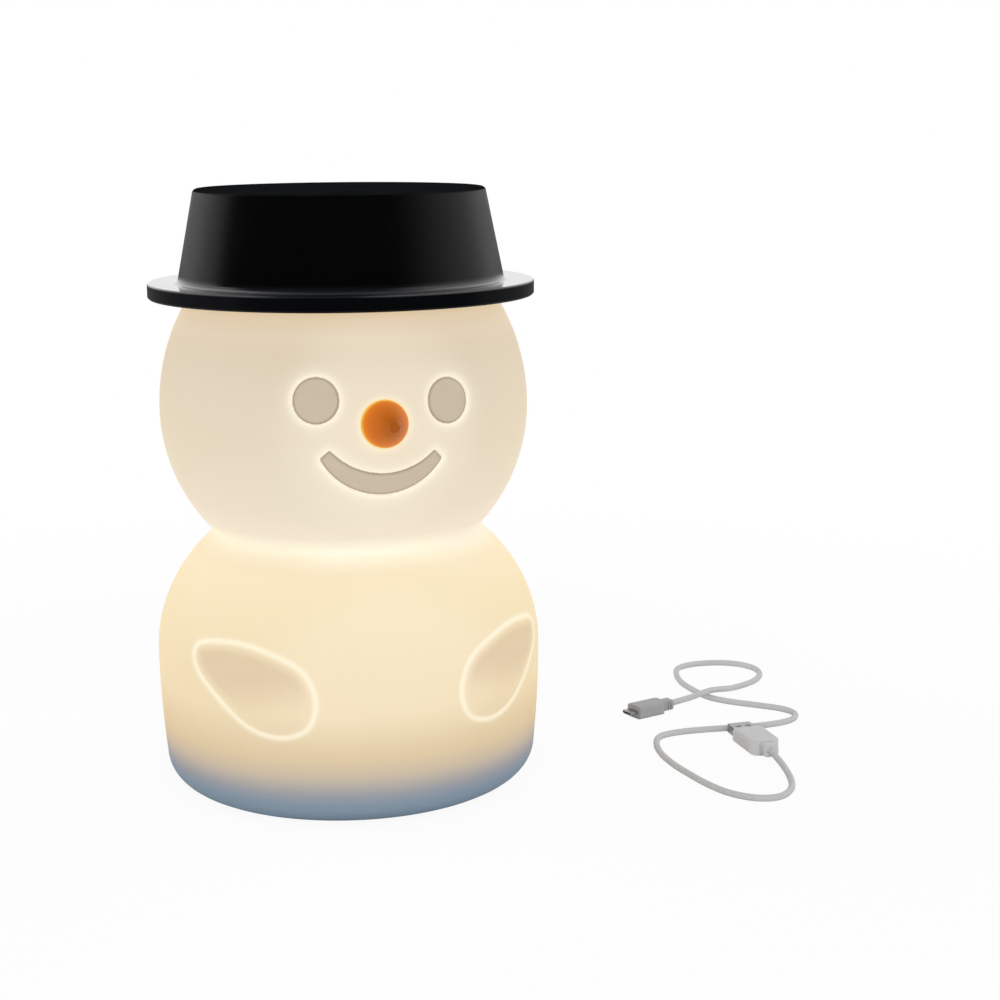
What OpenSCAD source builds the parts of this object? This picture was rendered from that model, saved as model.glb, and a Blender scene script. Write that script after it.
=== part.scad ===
// Snowman night light: a lit silicone skin over a moulded base, with a lift-off hat and a charging lead.
// Millimetres, +Z up. The origin is the centre of the pad that the lamp stands on. The face looks along -Y.

/* [Body] */
// Widest radius of the body
body_r = 91.5; // [88:0.5:96]
// Height of the body's widest ring
body_z = 65; // [58:1:72]
// Radius at the top of the foot's rounding
foot_r = 89; // [87:0.5:91]
// Rounding of the foot
foot_round = 15; // [13:0.5:17]
// Radius of the neck crease
neck_r = 62.5; // [56:0.5:68]
// Height of the neck crease
neck_z = 122; // [116:1:128]
// Wall of the silicone skin
skin_wall = 4; // [3:0.25:5]

/* [Head] */
// Widest radius of the head
head_r = 86.5; // [83:0.5:90]
// Height of the head's widest ring
head_z = 180.5; // [176:0.5:186]
// Height of the top of the head
head_top = 272.5; // [266:0.5:278]

/* [Face] */
// Depth of the eye and mouth recesses
recess = 1.6; // [1:0.1:2]
// How far the grey inlays lie below the skin
inlay_sink = 0.6; // [0.3:0.1:0.9]
// Radius of an eye
eye_r = 10.5; // [8:0.1:12]
// Angle of each eye from the middle of the face
eye_turn = 20.3; // [17:0.1:24]
// Height of the eyes
eye_z = 193; // [188:0.5:198]
// Turn of the eyes and the mouth about the nose's middle
face_tilt = 2.4; // [-4:0.2:4]
// Radius of both long edges of the mouth
mouth_r = 32; // [29:0.5:36]
// Height of the mouth's lowest point
mouth_z = 151; // [148:0.2:156]
// Thickness of the mouth at its middle
mouth_t = 10.4; // [8:0.2:13]
// Width of the mouth across its outer corners
mouth_w = 56; // [50:0.2:59]
// How far the inner corners of the mouth stand in from the outer ones
mouth_cut = 4.4; // [3:0.2:6]
// Height of the nose
nose_z = 183.5; // [180:0.5:188]
// Radius of the nose at its root
nose_r = 10.6; // [9:0.1:12]
// Radius of the nose at its tip
nose_tip_r = 2.8; // [2:0.1:4]
// How far the nose stands out of the head
nose_l = 19; // [14:0.5:26]
// How far the nose points up
nose_lift = 4; // [0:0.5:6]

/* [Mittens] */
// Angle from the middle of the face to the middle of a mitten
mitten_turn = 42.5; // [38:0.5:46]
// Height of the middle of a mitten
mitten_z = 63; // [58:0.5:68]
// Width of the groove round a mitten
groove_w = 2.6; // [1.6:0.1:3.6]
// Depth of the groove round a mitten
groove_d = 1.2; // [0.6:0.1:1.8]

/* [Hat] */
// How far the underside of the brim lies below the top of the head
hat_drop = 40.3; // [36:0.1:44]
// Air between the top of the head and the roof of the hat
hat_air = 6.5; // [5:0.1:10]
// Wall of the hat
hat_wall = 3; // [2.4:0.1:3.6]
// Width of the lip inside the hat that rests on the head
seat_lip = 1.2; // [0.8:0.1:2]
// How much narrower the crown is at its top
crown_taper = 8.1; // [4:0.1:12]
// How far the brim stands out from the crown
brim_w = 13.9; // [10:0.1:18]
// Thickness of the brim
brim_t = 7; // [6:0.1:9]
// Rounding of the crown's top edge
crown_round = 2.4; // [1:0.1:3.5]
// Rounding between the crown and the brim
hat_fillet = 3; // [1:0.5:5]
// Number of ribs under the brim
brim_ribs = 24; // [12:1:36]

/* [Base] */
// Height of the deck that carries the light
deck_z = 32; // [31:0.5:36]
// Wall of the moulded base
base_wall = 2.4; // [2:0.1:3]
// How far the foot pad stands below the skin
pad_proud = 0.8; // [0.6:0.1:1]
// Thickness of the foot pad
pad_t = 1.6; // [1.4:0.1:2]
// How far the skin's lip wraps in under the base
lip_w = 6; // [5:0.5:7]
// How far the cover's flange reaches out under the lip
flange_w = 4; // [3:0.5:5]
// How far the foot pad's edge stays inside the lip
pad_margin = 3.5; // [3:0.5:4.5]
// Thickness of the cover
cover_t = 2.5; // [2.2:0.1:3]
// Length of the cover screws under the head
cover_screw_l = 11; // [9:0.5:12]

/* [Rear panel] */
// Height of the port and the button
port_z = 19; // [18.5:0.25:20]
// How far the panel's face lies inside the skin's surface
panel_sunk = 2.8; // [2.3:0.1:3.3]
// Width of the panel
panel_w = 36; // [33:0.5:37]
// Height of the panel
panel_h = 12.6; // [12:0.1:13]
// Width of the pocket for the plug
pocket_w = 12.6; // [12:0.1:13]
// Height of the pocket for the plug
pocket_h = 8.6; // [8:0.1:9]
// Depth of the pocket for the plug
pocket_d = 5; // [4.6:0.1:5.4]
// Place of the button beside the port
button_x = 12; // [11.5:0.1:12.2]
// Radius of the button
button_r = 4; // [3.4:0.1:4.2]
// Travel of the button
button_travel = 0.8; // [0.5:0.1:0.9]
// How far the button stands out of the panel
button_proud = 1; // [0.9:0.1:1.6]
// Place of the status light beside the port
status_x = -10; // [-11:0.5:-9]

/* [Light and battery] */
// Radius of the round board that carries the lights
led_board_r = 32; // [28:0.5:35]
// Number of lights in the outer ring
led_count = 12; // [6:1:14]
// Side of one light
led_w = 5; // [3:0.5:5.5]
// Outer radius of the diffuser dome
dome_r = 40; // [38:0.5:44]
// Height of the diffuser dome
dome_h = 46; // [42:1:56]
// Wall of the diffuser dome
dome_wall = 1.8; // [1.4:0.1:2.4]
// Radius of the battery cell
cell_r = 9.2; // [8.6:0.1:9.3]
// Length of the battery cell
cell_l = 65; // [58:0.5:66]
// How far the cell lies in front of the middle
cell_y = 20; // [16:0.5:24]

/* [Charging lead] */
// Diameter of the lead
cord_d = 3.2; // [2.8:0.1:3.4]
// Width of the small plug's body
micro_w = 11.4; // [10:0.1:12.5]
// Length of the small plug's body
micro_l = 18; // [15:0.5:21]
// Width of the large plug's body
usb_w = 16.4; // [15:0.1:18]
// Length of the large plug's body
usb_l = 24; // [21:0.5:27]

/* [Fits] */
// Gap between pieces that rest side by side
fit = 0.3; // [0.2:0.05:0.4]
// Radial gap of a piece that slides in a bore
slide_fit = 0.06; // [0.03:0.01:0.1]
// Gap between the head and the lip of the hat
hat_fit = 0.35; // [0.3:0.05:0.5]

/* [Hidden] */
$fn = 64;
revolve_fn = 96;            // faces of a large revolved form
tiny = 0.02;                // overshoot of a cut past a face
out = 6;                    // overshoot of a cut outside the skin

skin_z = pad_proud;                                 // underside of the skin
foot_top = skin_z + foot_round;                     // where the foot's rounding ends
crease_wall = 1.4;                                  // wall across the crease, in skin walls
lip_t = 2.2;                                        // thickness of the lip over the flange
flange_t = skin_wall - lip_t - fit;                 // thickness of the cover's flange
base_z = skin_z + skin_wall + fit;                  // underside of the moulded base
base_inset = skin_wall + fit;                       // from the skin's outside to the base's outside
lip_r = foot_r - foot_round - lip_w;                // inner radius of the skin's lip
flange_r = lip_r + flange_w;                        // radius of the cover's flange, which holds the lip
pad_r = lip_r - pad_margin;                         // radius of the foot pad
pad_ring = 6;                                       // from the pad's edge to its first shallow ring

brim_z = head_top - hat_drop;                       // underside of the brim
roof_z = head_top + hat_air;                        // roof inside the hat
hat_z = roof_z + hat_wall;                          // top of the hat
hat_bore_r = skin_radius(brim_z, 0) + hat_fit;      // the hole that rests on the head
crown_r = hat_bore_r + seat_lip + hat_wall;         // crown at the brim
crown_top_r = crown_r - crown_taper;
brim_r = crown_r + brim_w;
brim_skin = 2.2;                                    // walls of the hollow brim
rib_t = 1.6;                                        // thickness of a rib

nose_stem_r = 5;                                    // the stem goes through the skin
nose_collar_r = 7.5;                                // the collar holds the nose from inside
nose_seat_y = sqrt(pow(skin_radius(nose_z, 0), 2) - pow(nose_r + fit, 2)) - 0.9;    // floor of its seat

screw_r = 1.5;                                      // cover screws
screw_head_r = 2.8;
screw_head_t = 1.6;
boss_r = 4;                                         // bosses that take the cover screws
cover_screw_r = lip_r - 2 * boss_r;                 // distance of the cover screws from the middle
boss_z = skin_z + cover_t + 2.6;                    // where the cover's posts meet the bosses
screw_seat_z = pad_t + screw_head_t + 0.2;          // where the screw heads bear
pilot_depth = screw_seat_z + cover_screw_l - boss_z + 3;
thread_fit = 0.03;                                  // between a screw and its pilot hole

panel_y = skin_radius(port_z, 0) - panel_sunk;      // outer face of the rear panel
block_y = panel_y - pocket_d - 2;                   // inner face of the panel's block
board_t = 1.6;                                      // thickness of both circuit boards
board_w = 44;
board_d = 25;
board_y = block_y - 0.5 - board_d;                  // front edge of the control board
board_top = port_z - 1.4;
board_post_x = 18;
board_post_y = board_y + 5;
board_post_r = 3.2;
small_screw_r = 1;
small_head_r = 1.9;
small_head_t = 1.3;
board_screw_l = 7;
led_screw_l = 5;
socket_w = 7.5;
socket_h = 2.6;
socket_d = 5.6;
button_face = panel_y + button_proud;
button_step = panel_y - 4;                          // the step that the button's flange rests on
button_flange_r = button_r + 1;
button_flange_t = 1.2;
stem_end = block_y + 0.5;                           // where the button's stem meets the plunger
stem_r = 1.5;
switch_face = stem_end - button_travel - 0.6;
switch_w = 6;
switch_d = 3.8;
switch_h = 3.2;
plunger_r = 1.2;
plunger_l = 3;
pipe_r = 1.25;

led_lift = 1.5;                                     // pads under the round board
led_board_z = deck_z + led_lift;
led_t = 1.5;
led_ring_r = led_board_r - led_w - 3;
led_post_r = 3;
led_screw_r = led_board_r * 0.55;
led_hole_y = led_board_r * 0.8;                     // hole in the deck for the wires
led_hole_r = 3.5;
dome_rib = 1.6;                                     // rib on the deck round the dome

cell_z = deck_z - base_wall - 2.4 - cell_r;         // middle of the battery
cradle_x = [-22, 0, 22];
cradle_t = 2.4;
wire_r = 0.8;
wire_x = cell_l / 2 + 2.4;
wire_z = board_top - board_t / 2;

cord_r = cord_d / 2;
cord_sides = 8;
cord_steps = 2;                                     // rings between two points of the route
micro_h = 7;
micro_sleeve = [6, 7, 5.6];                         // length, width and height of the small plug's sleeve
micro_tip = [5, 6.85, 1.8];
micro_turn = 198;                                   // way that the small plug points
micro_exit = [182, 40, micro_h / 2];
usb_h = 7.6;
usb_sleeve = [5, 8, 6];
usb_shell = [12, 12, 4.5];                          // length that shows, width and height of the large plug's shell
usb_shell_t = 0.3;
usb_turn = 90;
usb_exit = [201, -50, usb_h / 2];

// The lead's route, chosen by hand: over itself near its small plug, then flat on the surface.
route = [
    micro_exit, [196, 45, 4.1], [210, 50, 5.4], [226, 57, 3.4], [243, 69, 2.1], [253, 82, cord_r],
    [255, 95, cord_r], [249, 106, cord_r], [238, 112, cord_r], [225, 113, cord_r], [214, 108, cord_r],
    [208, 96, cord_r], [205, 80, cord_r], [206, 64, cord_r], [209, 50, cord_r], [217, 39, cord_r],
    [228, 29, cord_r], [238, 19, cord_r], [241, 9, cord_r], [235, 0, cord_r], [222, -4, cord_r],
    [205, -4, cord_r], [187, -2, cord_r], [170, -2, cord_r], [159, -6, cord_r], [153, -17, cord_r],
    [150, -32, cord_r], [150, -48, cord_r], [152, -64, cord_r], [155, -80, cord_r], [160, -94, cord_r],
    [169, -104, cord_r], [180, -106, cord_r], [189, -99, cord_r], [195, -87, cord_r], [199, -70, 2.4],
    usb_exit
];

// A mitten's outline about its middle, on the flank of the body: fat and low in front, narrow and high behind.
mitten = [
    [29, 18], [9, 21.5], [-9, 19.3], [-26, 12.3], [-32.7, 0], [-29.5, -14], [-17, -19.4], [-1, -16.2], [15, -5.5], [30, 7.5]
];

// ---- Curves ----

// Half height of the ellipse with radius r that passes the neck crease, inset into the wall
function half_height(r, rise, inset) = rise / sqrt(1 - pow((neck_r - crease_wall * inset) / (r - inset), 2));

function foot_radius(z, inset) =
    foot_r - foot_round + sqrt(max(0, pow(foot_round - inset, 2) - pow(foot_top - z, 2)));
function flank_radius(z, inset) =
    body_r - inset - (body_r - foot_r) * pow((body_z - z) / (body_z - foot_top), 2);
function ellipse_radius(r, half, rise) = r * sqrt(max(0, 1 - pow(rise / half, 2)));

// Radius of the skin at height z, inset into its wall
function skin_radius(z, inset) =
    z < foot_top ? foot_radius(z, inset) :
    z < body_z ? flank_radius(z, inset) :
    z < neck_z ? ellipse_radius(body_r - inset, half_height(body_r, neck_z - body_z, inset), z - body_z) :
    z < head_z ? ellipse_radius(head_r - inset, half_height(head_r, head_z - neck_z, inset), head_z - z) :
    ellipse_radius(head_r - inset, head_top - head_z - inset, z - head_z);

// Points of an ellipse about height z0, from angle a0 to a1
function ellipse_arc(r, half, z0, a0, a1, steps) = [
    for (i = [0:steps]) let (a = a0 + (a1 - a0) * i / steps) [r * cos(a), z0 + half * sin(a)]
];
function neck_angle(r, inset) = acos((neck_r - crease_wall * inset) / (r - inset));

function foot_curve(inset) = [
    for (i = [0:6]) let (a = -90 + 90 * i / 6)
        [foot_r - foot_round + (foot_round - inset) * cos(a), foot_top + (foot_round - inset) * sin(a)]
];
function flank_curve(inset) = [
    for (i = [1:5]) let (z = foot_top + (body_z - foot_top) * i / 6) [flank_radius(z, inset), z]
];
function body_curve(inset) = concat(
    foot_curve(inset),
    flank_curve(inset),
    ellipse_arc(body_r - inset, half_height(body_r, neck_z - body_z, inset), body_z, 0, neck_angle(body_r, inset), 9)
);
function head_curve(inset) = concat(
    ellipse_arc(head_r - inset, half_height(head_r, head_z - neck_z, inset), head_z, -neck_angle(head_r, inset), 0, 9),
    [for (i = [1:13]) let (a = 90 * i / 13)
        [(head_r - inset) * cos(a), head_z + (head_top - head_z - inset) * sin(a)]]
);
function skin_curve(inset) = concat(body_curve(inset), [for (i = [1:len(head_curve(inset)) - 1]) head_curve(inset)[i]]);
function reversed(p) = [for (i = [len(p) - 1:-1:0]) p[i]];

// A smooth closed curve or open route through points, with steps from each to the next
function smooth(p0, p1, p2, p3, t) =
    0.5 * (2 * p1 + (p2 - p0) * t + (2 * p0 - 5 * p1 + 4 * p2 - p3) * t * t + (3 * p1 - p0 - 3 * p2 + p3) * t * t * t);
function closed_curve(p, steps) = let (n = len(p)) [
    for (i = [0:n - 1], s = [0:steps - 1])
        smooth(p[(i + n - 1) % n], p[i], p[(i + 1) % n], p[(i + 2) % n], s / steps)
];
function open_curve(p, steps) = let (n = len(p)) concat([
    for (i = [0:n - 2], s = [0:steps - 1])
        smooth(p[max(0, i - 1)], p[i], p[i + 1], p[min(n - 1, i + 2)], s / steps)
], [p[n - 1]]);

function unit(v) = v / norm(v);
// Outline moved inwards by d: each point goes square to the line between its neighbours
function shrink(p, d) = let (n = len(p)) [
    for (i = [0:n - 1]) let (t = unit(p[(i + 1) % n] - p[(i + n - 1) % n])) p[i] + d * [-t[1], t[0]]
];

// ---- Shared forms ----

// A layer of the head's wall between two depths
module head_layer(depth0, depth1) {
    rotate_extrude($fn = revolve_fn)
        polygon(concat(head_curve(depth0), reversed(head_curve(depth1))));
}

// A layer of the body's wall between two depths
module body_layer(depth0, depth1) {
    rotate_extrude($fn = revolve_fn)
        polygon(concat(body_curve(depth0), reversed(body_curve(depth1))));
}

// A flat piece in the XZ plane, pushed out along -Y from y = -near to y = -far
module face_prism(near, far) {
    translate([0, -near, 0])
        rotate([90, 0, 0])
            linear_extrude(far - near)
                children();
}

// A round bar along +Y from y0 to y1
module bar_y(r, y0, y1) {
    translate([0, y0, 0])
        rotate([-90, 0, 0])
            cylinder(r = r, h = y1 - y0);
}

// A block with rounded corners, centred in x and z, from y0 to y1
module rounded_block(w, h, r, y0, y1) {
    translate([-w / 2 + r, y0, -h / 2])
        cube([w - 2 * r, y1 - y0, h]);
    translate([-w / 2, y0, -h / 2 + r])
        cube([w, y1 - y0, h - 2 * r]);
    for (x = [-1, 1], z = [-1, 1])
        translate([x * (w / 2 - r), 0, z * (h / 2 - r)])
            bar_y(r, y0, y1);
}

// Copies at equal angles round the Z axis
module ring(count, r, turn = 0) {
    for (i = [0:count - 1])
        rotate([0, 0, turn + 360 * i / count])
            translate([r, 0, 0])
                children();
}

module screw(r, head_r, head_t, length) {
    difference() {
        cylinder(r = head_r, h = head_t, $fn = 32);
        translate([-head_r * 0.6, -0.35, -tiny])
            cube([head_r * 1.2, 0.7, head_t * 0.5]);
        translate([-0.35, -head_r * 0.6, -tiny])
            cube([0.7, head_r * 1.2, head_t * 0.5]);
    }
    translate([0, 0, head_t - tiny])
        cylinder(r = r, h = length + tiny, $fn = 32);
}

// A wire through points, round at each bend and flat at both ends
module wire(points) {
    for (i = [0:len(points) - 2]) {
        v = points[i + 1] - points[i];
        translate(points[i])
            rotate([0, acos(v[2] / norm(v)), atan2(v[1], v[0])])
                cylinder(r = wire_r, h = norm(v), $fn = 24);
    }
    for (i = [1:len(points) - 2])
        translate(points[i])
            sphere(r = wire_r, $fn = 24);
}

// ---- Skin and face ----

// Turns the eyes and the mouth about the nose's middle
module tilt_face() {
    translate([0, 0, nose_z])
        rotate([0, face_tilt, 0])
            translate([0, 0, -nose_z])
                children();
}

// Points the nose and its bores up, about the middle of its root
module lift_nose() {
    translate([0, -skin_radius(nose_z, 0), nose_z])
        rotate([-nose_lift, 0, 0])
            translate([0, skin_radius(nose_z, 0), 0])
                children();
}

module eye_bar(side, r) {
    lift = atan((eye_z - head_z) * pow(head_r, 2) / (skin_radius(eye_z, 0) * pow(head_top - head_z, 2)));
    rotate([0, 0, side * eye_turn])
        translate([0, -skin_radius(eye_z, 0), eye_z])
            rotate([90 - lift, 0, 0])
                translate([0, 0, -out])
                    cylinder(r = r, h = 2 * out);
}

module mouth_shape(gap) {
    reach = asin(mouth_w / 2 / mouth_r);
    inner = asin((mouth_w / 2 - mouth_cut) / mouth_r);
    low = mouth_z + mouth_r;
    steps = 12;
    outer_edge = [
        for (i = [0:steps]) let (a = -reach + 2 * reach * i / steps)
            [(mouth_r - gap) * sin(a), low - (mouth_r - gap) * cos(a)]
    ];
    inner_edge = [
        for (i = [0:steps]) let (a = inner - 2 * inner * i / steps)
            [(mouth_r + gap) * sin(a), low + mouth_t - (mouth_r + gap) * cos(a)]
    ];
    polygon(concat(outer_edge, inner_edge));
}

module mitten_groove(side) {
    outline = closed_curve([for (p = mitten) [side * p[0], p[1]]], 3);
    way = -side;
    rotate([0, 0, side * mitten_turn])
        translate([0, 0, mitten_z])
            face_prism(body_r * 0.7, body_r + out)
                difference() {
                    polygon(shrink(outline, way * groove_w / 2));
                    polygon(shrink(outline, -way * groove_w / 2));
                }
}

module skin() {
    color([0.97, 0.93, 0.85])
        difference() {
            rotate_extrude($fn = revolve_fn)
                polygon(concat(
                    [[lip_r, skin_z + skin_wall], [lip_r, skin_z + flange_t + fit],
                     [flange_r + fit, skin_z + flange_t + fit], [flange_r + fit, skin_z]],
                    skin_curve(0),
                    reversed(skin_curve(skin_wall))
                ));
            for (side = [-1, 1])
                intersection() {
                    tilt_face()
                        eye_bar(side, eye_r);
                    head_layer(-out, recess);
                }
            intersection() {
                tilt_face()
                    face_prism(head_r * 0.7, head_r + out)
                        mouth_shape(0);
                head_layer(-out, recess);
            }
            for (side = [-1, 1])
                intersection() {
                    mitten_groove(side);
                    body_layer(-out, groove_d);
                }
            lift_nose() {
                bar_y(nose_r + fit, -head_r - out, -nose_seat_y);
                bar_y(nose_stem_r + fit, -head_r - out, -head_r * 0.7);
            }
            translate([0, 0, port_z])
                rounded_block(panel_w + 2 * fit, panel_h + 2 * fit, 3 + fit, block_y - 2 * skin_wall, body_r + out);
        }
}

module inlay_eye(side) {
    intersection() {
        tilt_face()
            eye_bar(side, eye_r - fit / 2);
        head_layer(inlay_sink, recess - 0.05);
    }
}

module left_eye() {
    color([0.78, 0.75, 0.68])
        inlay_eye(-1);
}

module right_eye() {
    color([0.78, 0.75, 0.68])
        inlay_eye(1);
}

module mouth() {
    color([0.78, 0.75, 0.68])
        intersection() {
            tilt_face()
                face_prism(head_r * 0.7, head_r + out)
                    mouth_shape(fit / 2);
            head_layer(inlay_sink, recess - 0.05);
        }
}

module nose() {
    root = 2.5;
    collar_t = 1.6;
    inside = skin_radius(nose_z, skin_wall) - 1.4 - nose_seat_y;
    length = skin_radius(nose_z, 0) - nose_seat_y + nose_l;
    color([0.87, 0.47, 0.1])
        lift_nose()
            translate([0, -nose_seat_y, 0])
                rotate([90, 0, 0])
                    rotate_extrude()
                        polygon(concat(
                            [[0, inside - collar_t], [nose_collar_r, inside - collar_t], [nose_collar_r, inside],
                             [nose_stem_r, inside], [nose_stem_r, 0], [nose_r, 0], [nose_r - 0.4, root]],
                            [for (i = [0:5]) let (a = 15 + 75 * i / 5)
                                [nose_tip_r * cos(a), length - nose_tip_r + nose_tip_r * sin(a)]]
                        ));
}

// ---- Hat ----

module hat() {
    rim = brim_z + brim_t;
    core_in = crown_r + 0.2;
    core_out = brim_r - brim_skin;
    slope = crown_taper / (hat_z - rim);
    roof_r = crown_r - hat_wall - slope * (roof_z - rim);
    top_round = [
        for (i = [0:5]) let (a = 90 * i / 5)
            [crown_top_r - crown_round + crown_round * cos(a), hat_z - crown_round + crown_round * sin(a)]
    ];
    foot_fillet = [
        for (i = [0:4]) let (a = 90 * i / 4)
            [crown_r + hat_fillet * (1 - slope - sin(a)), rim + hat_fillet * (1 - cos(a))]
    ];
    color([0.04, 0.04, 0.045])
        difference() {
            rotate_extrude($fn = revolve_fn)
                polygon(concat(
                    [[hat_bore_r, brim_z + 0.6], [hat_bore_r + 0.6, brim_z], [brim_r - 0.8, brim_z],
                     [brim_r, brim_z + 0.8], [brim_r, rim - 0.8], [brim_r - 0.8, rim]],
                    foot_fillet,
                    top_round,
                    [[0, hat_z], [0, roof_z], [roof_r - 2, roof_z], [roof_r, roof_z - 2],
                     [crown_r - hat_wall, rim], [crown_r - hat_wall, brim_z + 3],
                     [hat_bore_r, brim_z + 2]]
                ));
            difference() {
                rotate_extrude($fn = revolve_fn)
                    polygon([[core_in, brim_z - tiny], [core_out, brim_z - tiny],
                             [core_out, rim - brim_skin], [core_in, rim - brim_skin]]);
                ring(brim_ribs, 0)
                    translate([core_in - 1, -rib_t / 2, brim_z - 1])
                        cube([core_out - core_in + 2, rib_t, brim_t]);
            }
        }
}

// ---- Base ----

function base_curve(inset) = concat(
    [for (i = [1:5]) let (z = base_z + (foot_top - base_z) * i / 6) [foot_radius(z, inset), z]],
    [for (i = [0:4]) let (z = foot_top + (deck_z - foot_top) * i / 4) [flank_radius(z, inset), z]]
);

module housing_shell() {
    floor_r = foot_r - foot_round;
    outside = base_curve(base_inset);
    inside = [for (p = reversed(outside)) if (p[1] > base_z + base_wall) [p[0] - base_wall, min(p[1], deck_z - base_wall)]];
    rotate_extrude($fn = revolve_fn)
        polygon(concat(
            [[0, deck_z - base_wall], [0, deck_z]],
            reversed(outside),
            [[floor_r, base_z], [lip_r, base_z], [lip_r, base_z + base_wall], [floor_r - 1, base_z + base_wall]],
            reversed(inside)
        ));
}

module place_cover_screws() {
    ring(4, cover_screw_r, 45)
        children();
}

module place_board_posts() {
    for (side = [-1, 1])
        translate([side * board_post_x, board_post_y, 0])
            children();
}

module place_led_posts() {
    ring(3, led_screw_r, 90)
        children();
}

module base_housing() {
    color([0.93, 0.92, 0.9])
        difference() {
            union() {
                housing_shell();
                translate([0, 0, port_z])
                    rounded_block(panel_w, panel_h, 3, block_y, panel_y);
                place_cover_screws()
                    translate([0, 0, boss_z])
                        cylinder(r = boss_r, h = deck_z - boss_z - tiny);
                place_board_posts()
                    translate([0, 0, board_top])
                        cylinder(r = board_post_r, h = deck_z - board_top - tiny);
                place_led_posts()
                    translate([0, 0, deck_z - base_wall - 3])
                        cylinder(r = led_post_r, h = base_wall + 3 + led_lift);
                for (x = cradle_x)
                    translate([x - cradle_t / 2, -cell_y - cell_r - 2, cell_z])
                        cube([cradle_t, 2 * cell_r + 4, deck_z - cell_z - tiny]);
                translate([0, 0, deck_z - tiny])
                    difference() {
                        cylinder(r = dome_r + fit + dome_rib, h = 2.4, $fn = revolve_fn);
                        translate([0, 0, -1])
                            cylinder(r = dome_r + fit, h = 5, $fn = revolve_fn);
                    }
            }
            place_cover_screws()
                translate([0, 0, boss_z - 1])
                    cylinder(r = screw_r + thread_fit, h = pilot_depth + 1);
            place_board_posts()
                translate([0, 0, board_top - 1])
                    cylinder(r = small_screw_r + thread_fit, h = board_screw_l + 2);
            place_led_posts()
                translate([0, 0, led_board_z - led_screw_l])
                    cylinder(r = small_screw_r + thread_fit, h = 2 * led_screw_l);
            translate([-cell_l / 2 - 1, -cell_y, cell_z])
                rotate([0, 90, 0])
                    cylinder(r = cell_r + fit, h = cell_l + 2);
            translate([0, 0, port_z])
                rounded_block(pocket_w, pocket_h, 2, panel_y - pocket_d, panel_y + 1);
            translate([0, 0, port_z])
                rounded_block(socket_w + 2 * fit, socket_h + 2 * fit, 0.8, block_y - 1, panel_y);
            translate([button_x, 0, port_z]) {
                bar_y(button_r + slide_fit, block_y, panel_y + 1);
                bar_y(button_flange_r + fit, block_y - 1, button_step);
            }
            translate([status_x, 0, port_z])
                bar_y(pipe_r + slide_fit, block_y - 1, panel_y + 1);
            translate([0, led_hole_y, deck_z - 2 * base_wall])
                cylinder(r = led_hole_r, h = 4 * base_wall);
        }
}

module base_cover() {
    top = skin_z + cover_t;
    color([0.9, 0.89, 0.87])
        difference() {
            union() {
                rotate_extrude($fn = revolve_fn)
                    polygon([
                        [0, pad_t], [pad_r + fit, pad_t], [pad_r + fit, skin_z], [flange_r, skin_z],
                        [flange_r, skin_z + flange_t], [lip_r - fit, skin_z + flange_t],
                        [lip_r - fit, base_z + base_wall], [lip_r - fit - 1.6, base_z + base_wall],
                        [lip_r - fit - 1.6, top], [0, top]
                    ]);
                place_cover_screws()
                    translate([0, 0, top - tiny])
                        cylinder(r = boss_r, h = boss_z - top + tiny);
                for (x = cradle_x)
                    translate([x - cradle_t / 2, -cell_y - cell_r - 2, top - tiny])
                        cube([cradle_t, 2 * cell_r + 4, cell_z - top - 4]);
            }
            place_cover_screws() {
                translate([0, 0, pad_t - 1])
                    cylinder(r = screw_head_r + fit, h = screw_seat_z - pad_t + 1);
                cylinder(r = screw_r + fit, h = boss_z + 1);
            }
            translate([-cell_l / 2 - 1, -cell_y, cell_z])
                rotate([0, 90, 0])
                    cylinder(r = cell_r + fit, h = cell_l + 2);
        }
}

module base_pad() {
    color([0.35, 0.35, 0.36])
        difference() {
            cylinder(r = pad_r, h = pad_t, $fn = revolve_fn);
            for (r = [pad_r - pad_ring, pad_r - 2.4 * pad_ring])
                translate([0, 0, -1])
                    difference() {
                        cylinder(r = r, h = 1.4, $fn = revolve_fn);
                        translate([0, 0, -1])
                            cylinder(r = r - 2, h = 4, $fn = revolve_fn);
                    }
        }
}

module cover_screws() {
    color([0.7, 0.7, 0.72])
        place_cover_screws()
            translate([0, 0, screw_seat_z - screw_head_t])
                screw(screw_r, screw_head_r, screw_head_t, cover_screw_l);
}

// ---- Light ----

module led_board() {
    color([0.9, 0.91, 0.92])
        difference() {
            translate([0, 0, led_board_z])
                cylinder(r = led_board_r, h = board_t, $fn = revolve_fn);
            place_led_posts()
                translate([0, 0, led_board_z - 1])
                    cylinder(r = small_screw_r + fit, h = 4);
        }
}

module leds() {
    color([0.98, 0.85, 0.4]) {
        ring(led_count, led_ring_r)
            translate([-led_w / 2, -led_w / 2, led_board_z + board_t])
                cube([led_w, led_w, led_t]);
        ring(3, led_w * 1.6, 90)
            translate([-led_w / 2, -led_w / 2, led_board_z + board_t])
                cube([led_w, led_w, led_t]);
    }
}

module led_screws() {
    color([0.7, 0.7, 0.72])
        place_led_posts()
            translate([0, 0, led_board_z + board_t + small_head_t])
                mirror([0, 0, 1])
                    screw(small_screw_r, small_head_r, small_head_t, led_screw_l);
}

module diffuser_dome() {
    drum = dome_h - dome_r * 0.6;
    function dome_curve(inset) = concat(
        [[dome_r - inset, 0]],
        ellipse_arc(dome_r - inset, dome_r * 0.6 - inset, drum, 0, 90, 10)
    );
    color([0.96, 0.96, 0.94])
        translate([0, 0, deck_z])
            rotate_extrude($fn = revolve_fn)
                polygon(concat(dome_curve(0), reversed(dome_curve(dome_wall))));
}

// ---- Electronics ----

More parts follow.
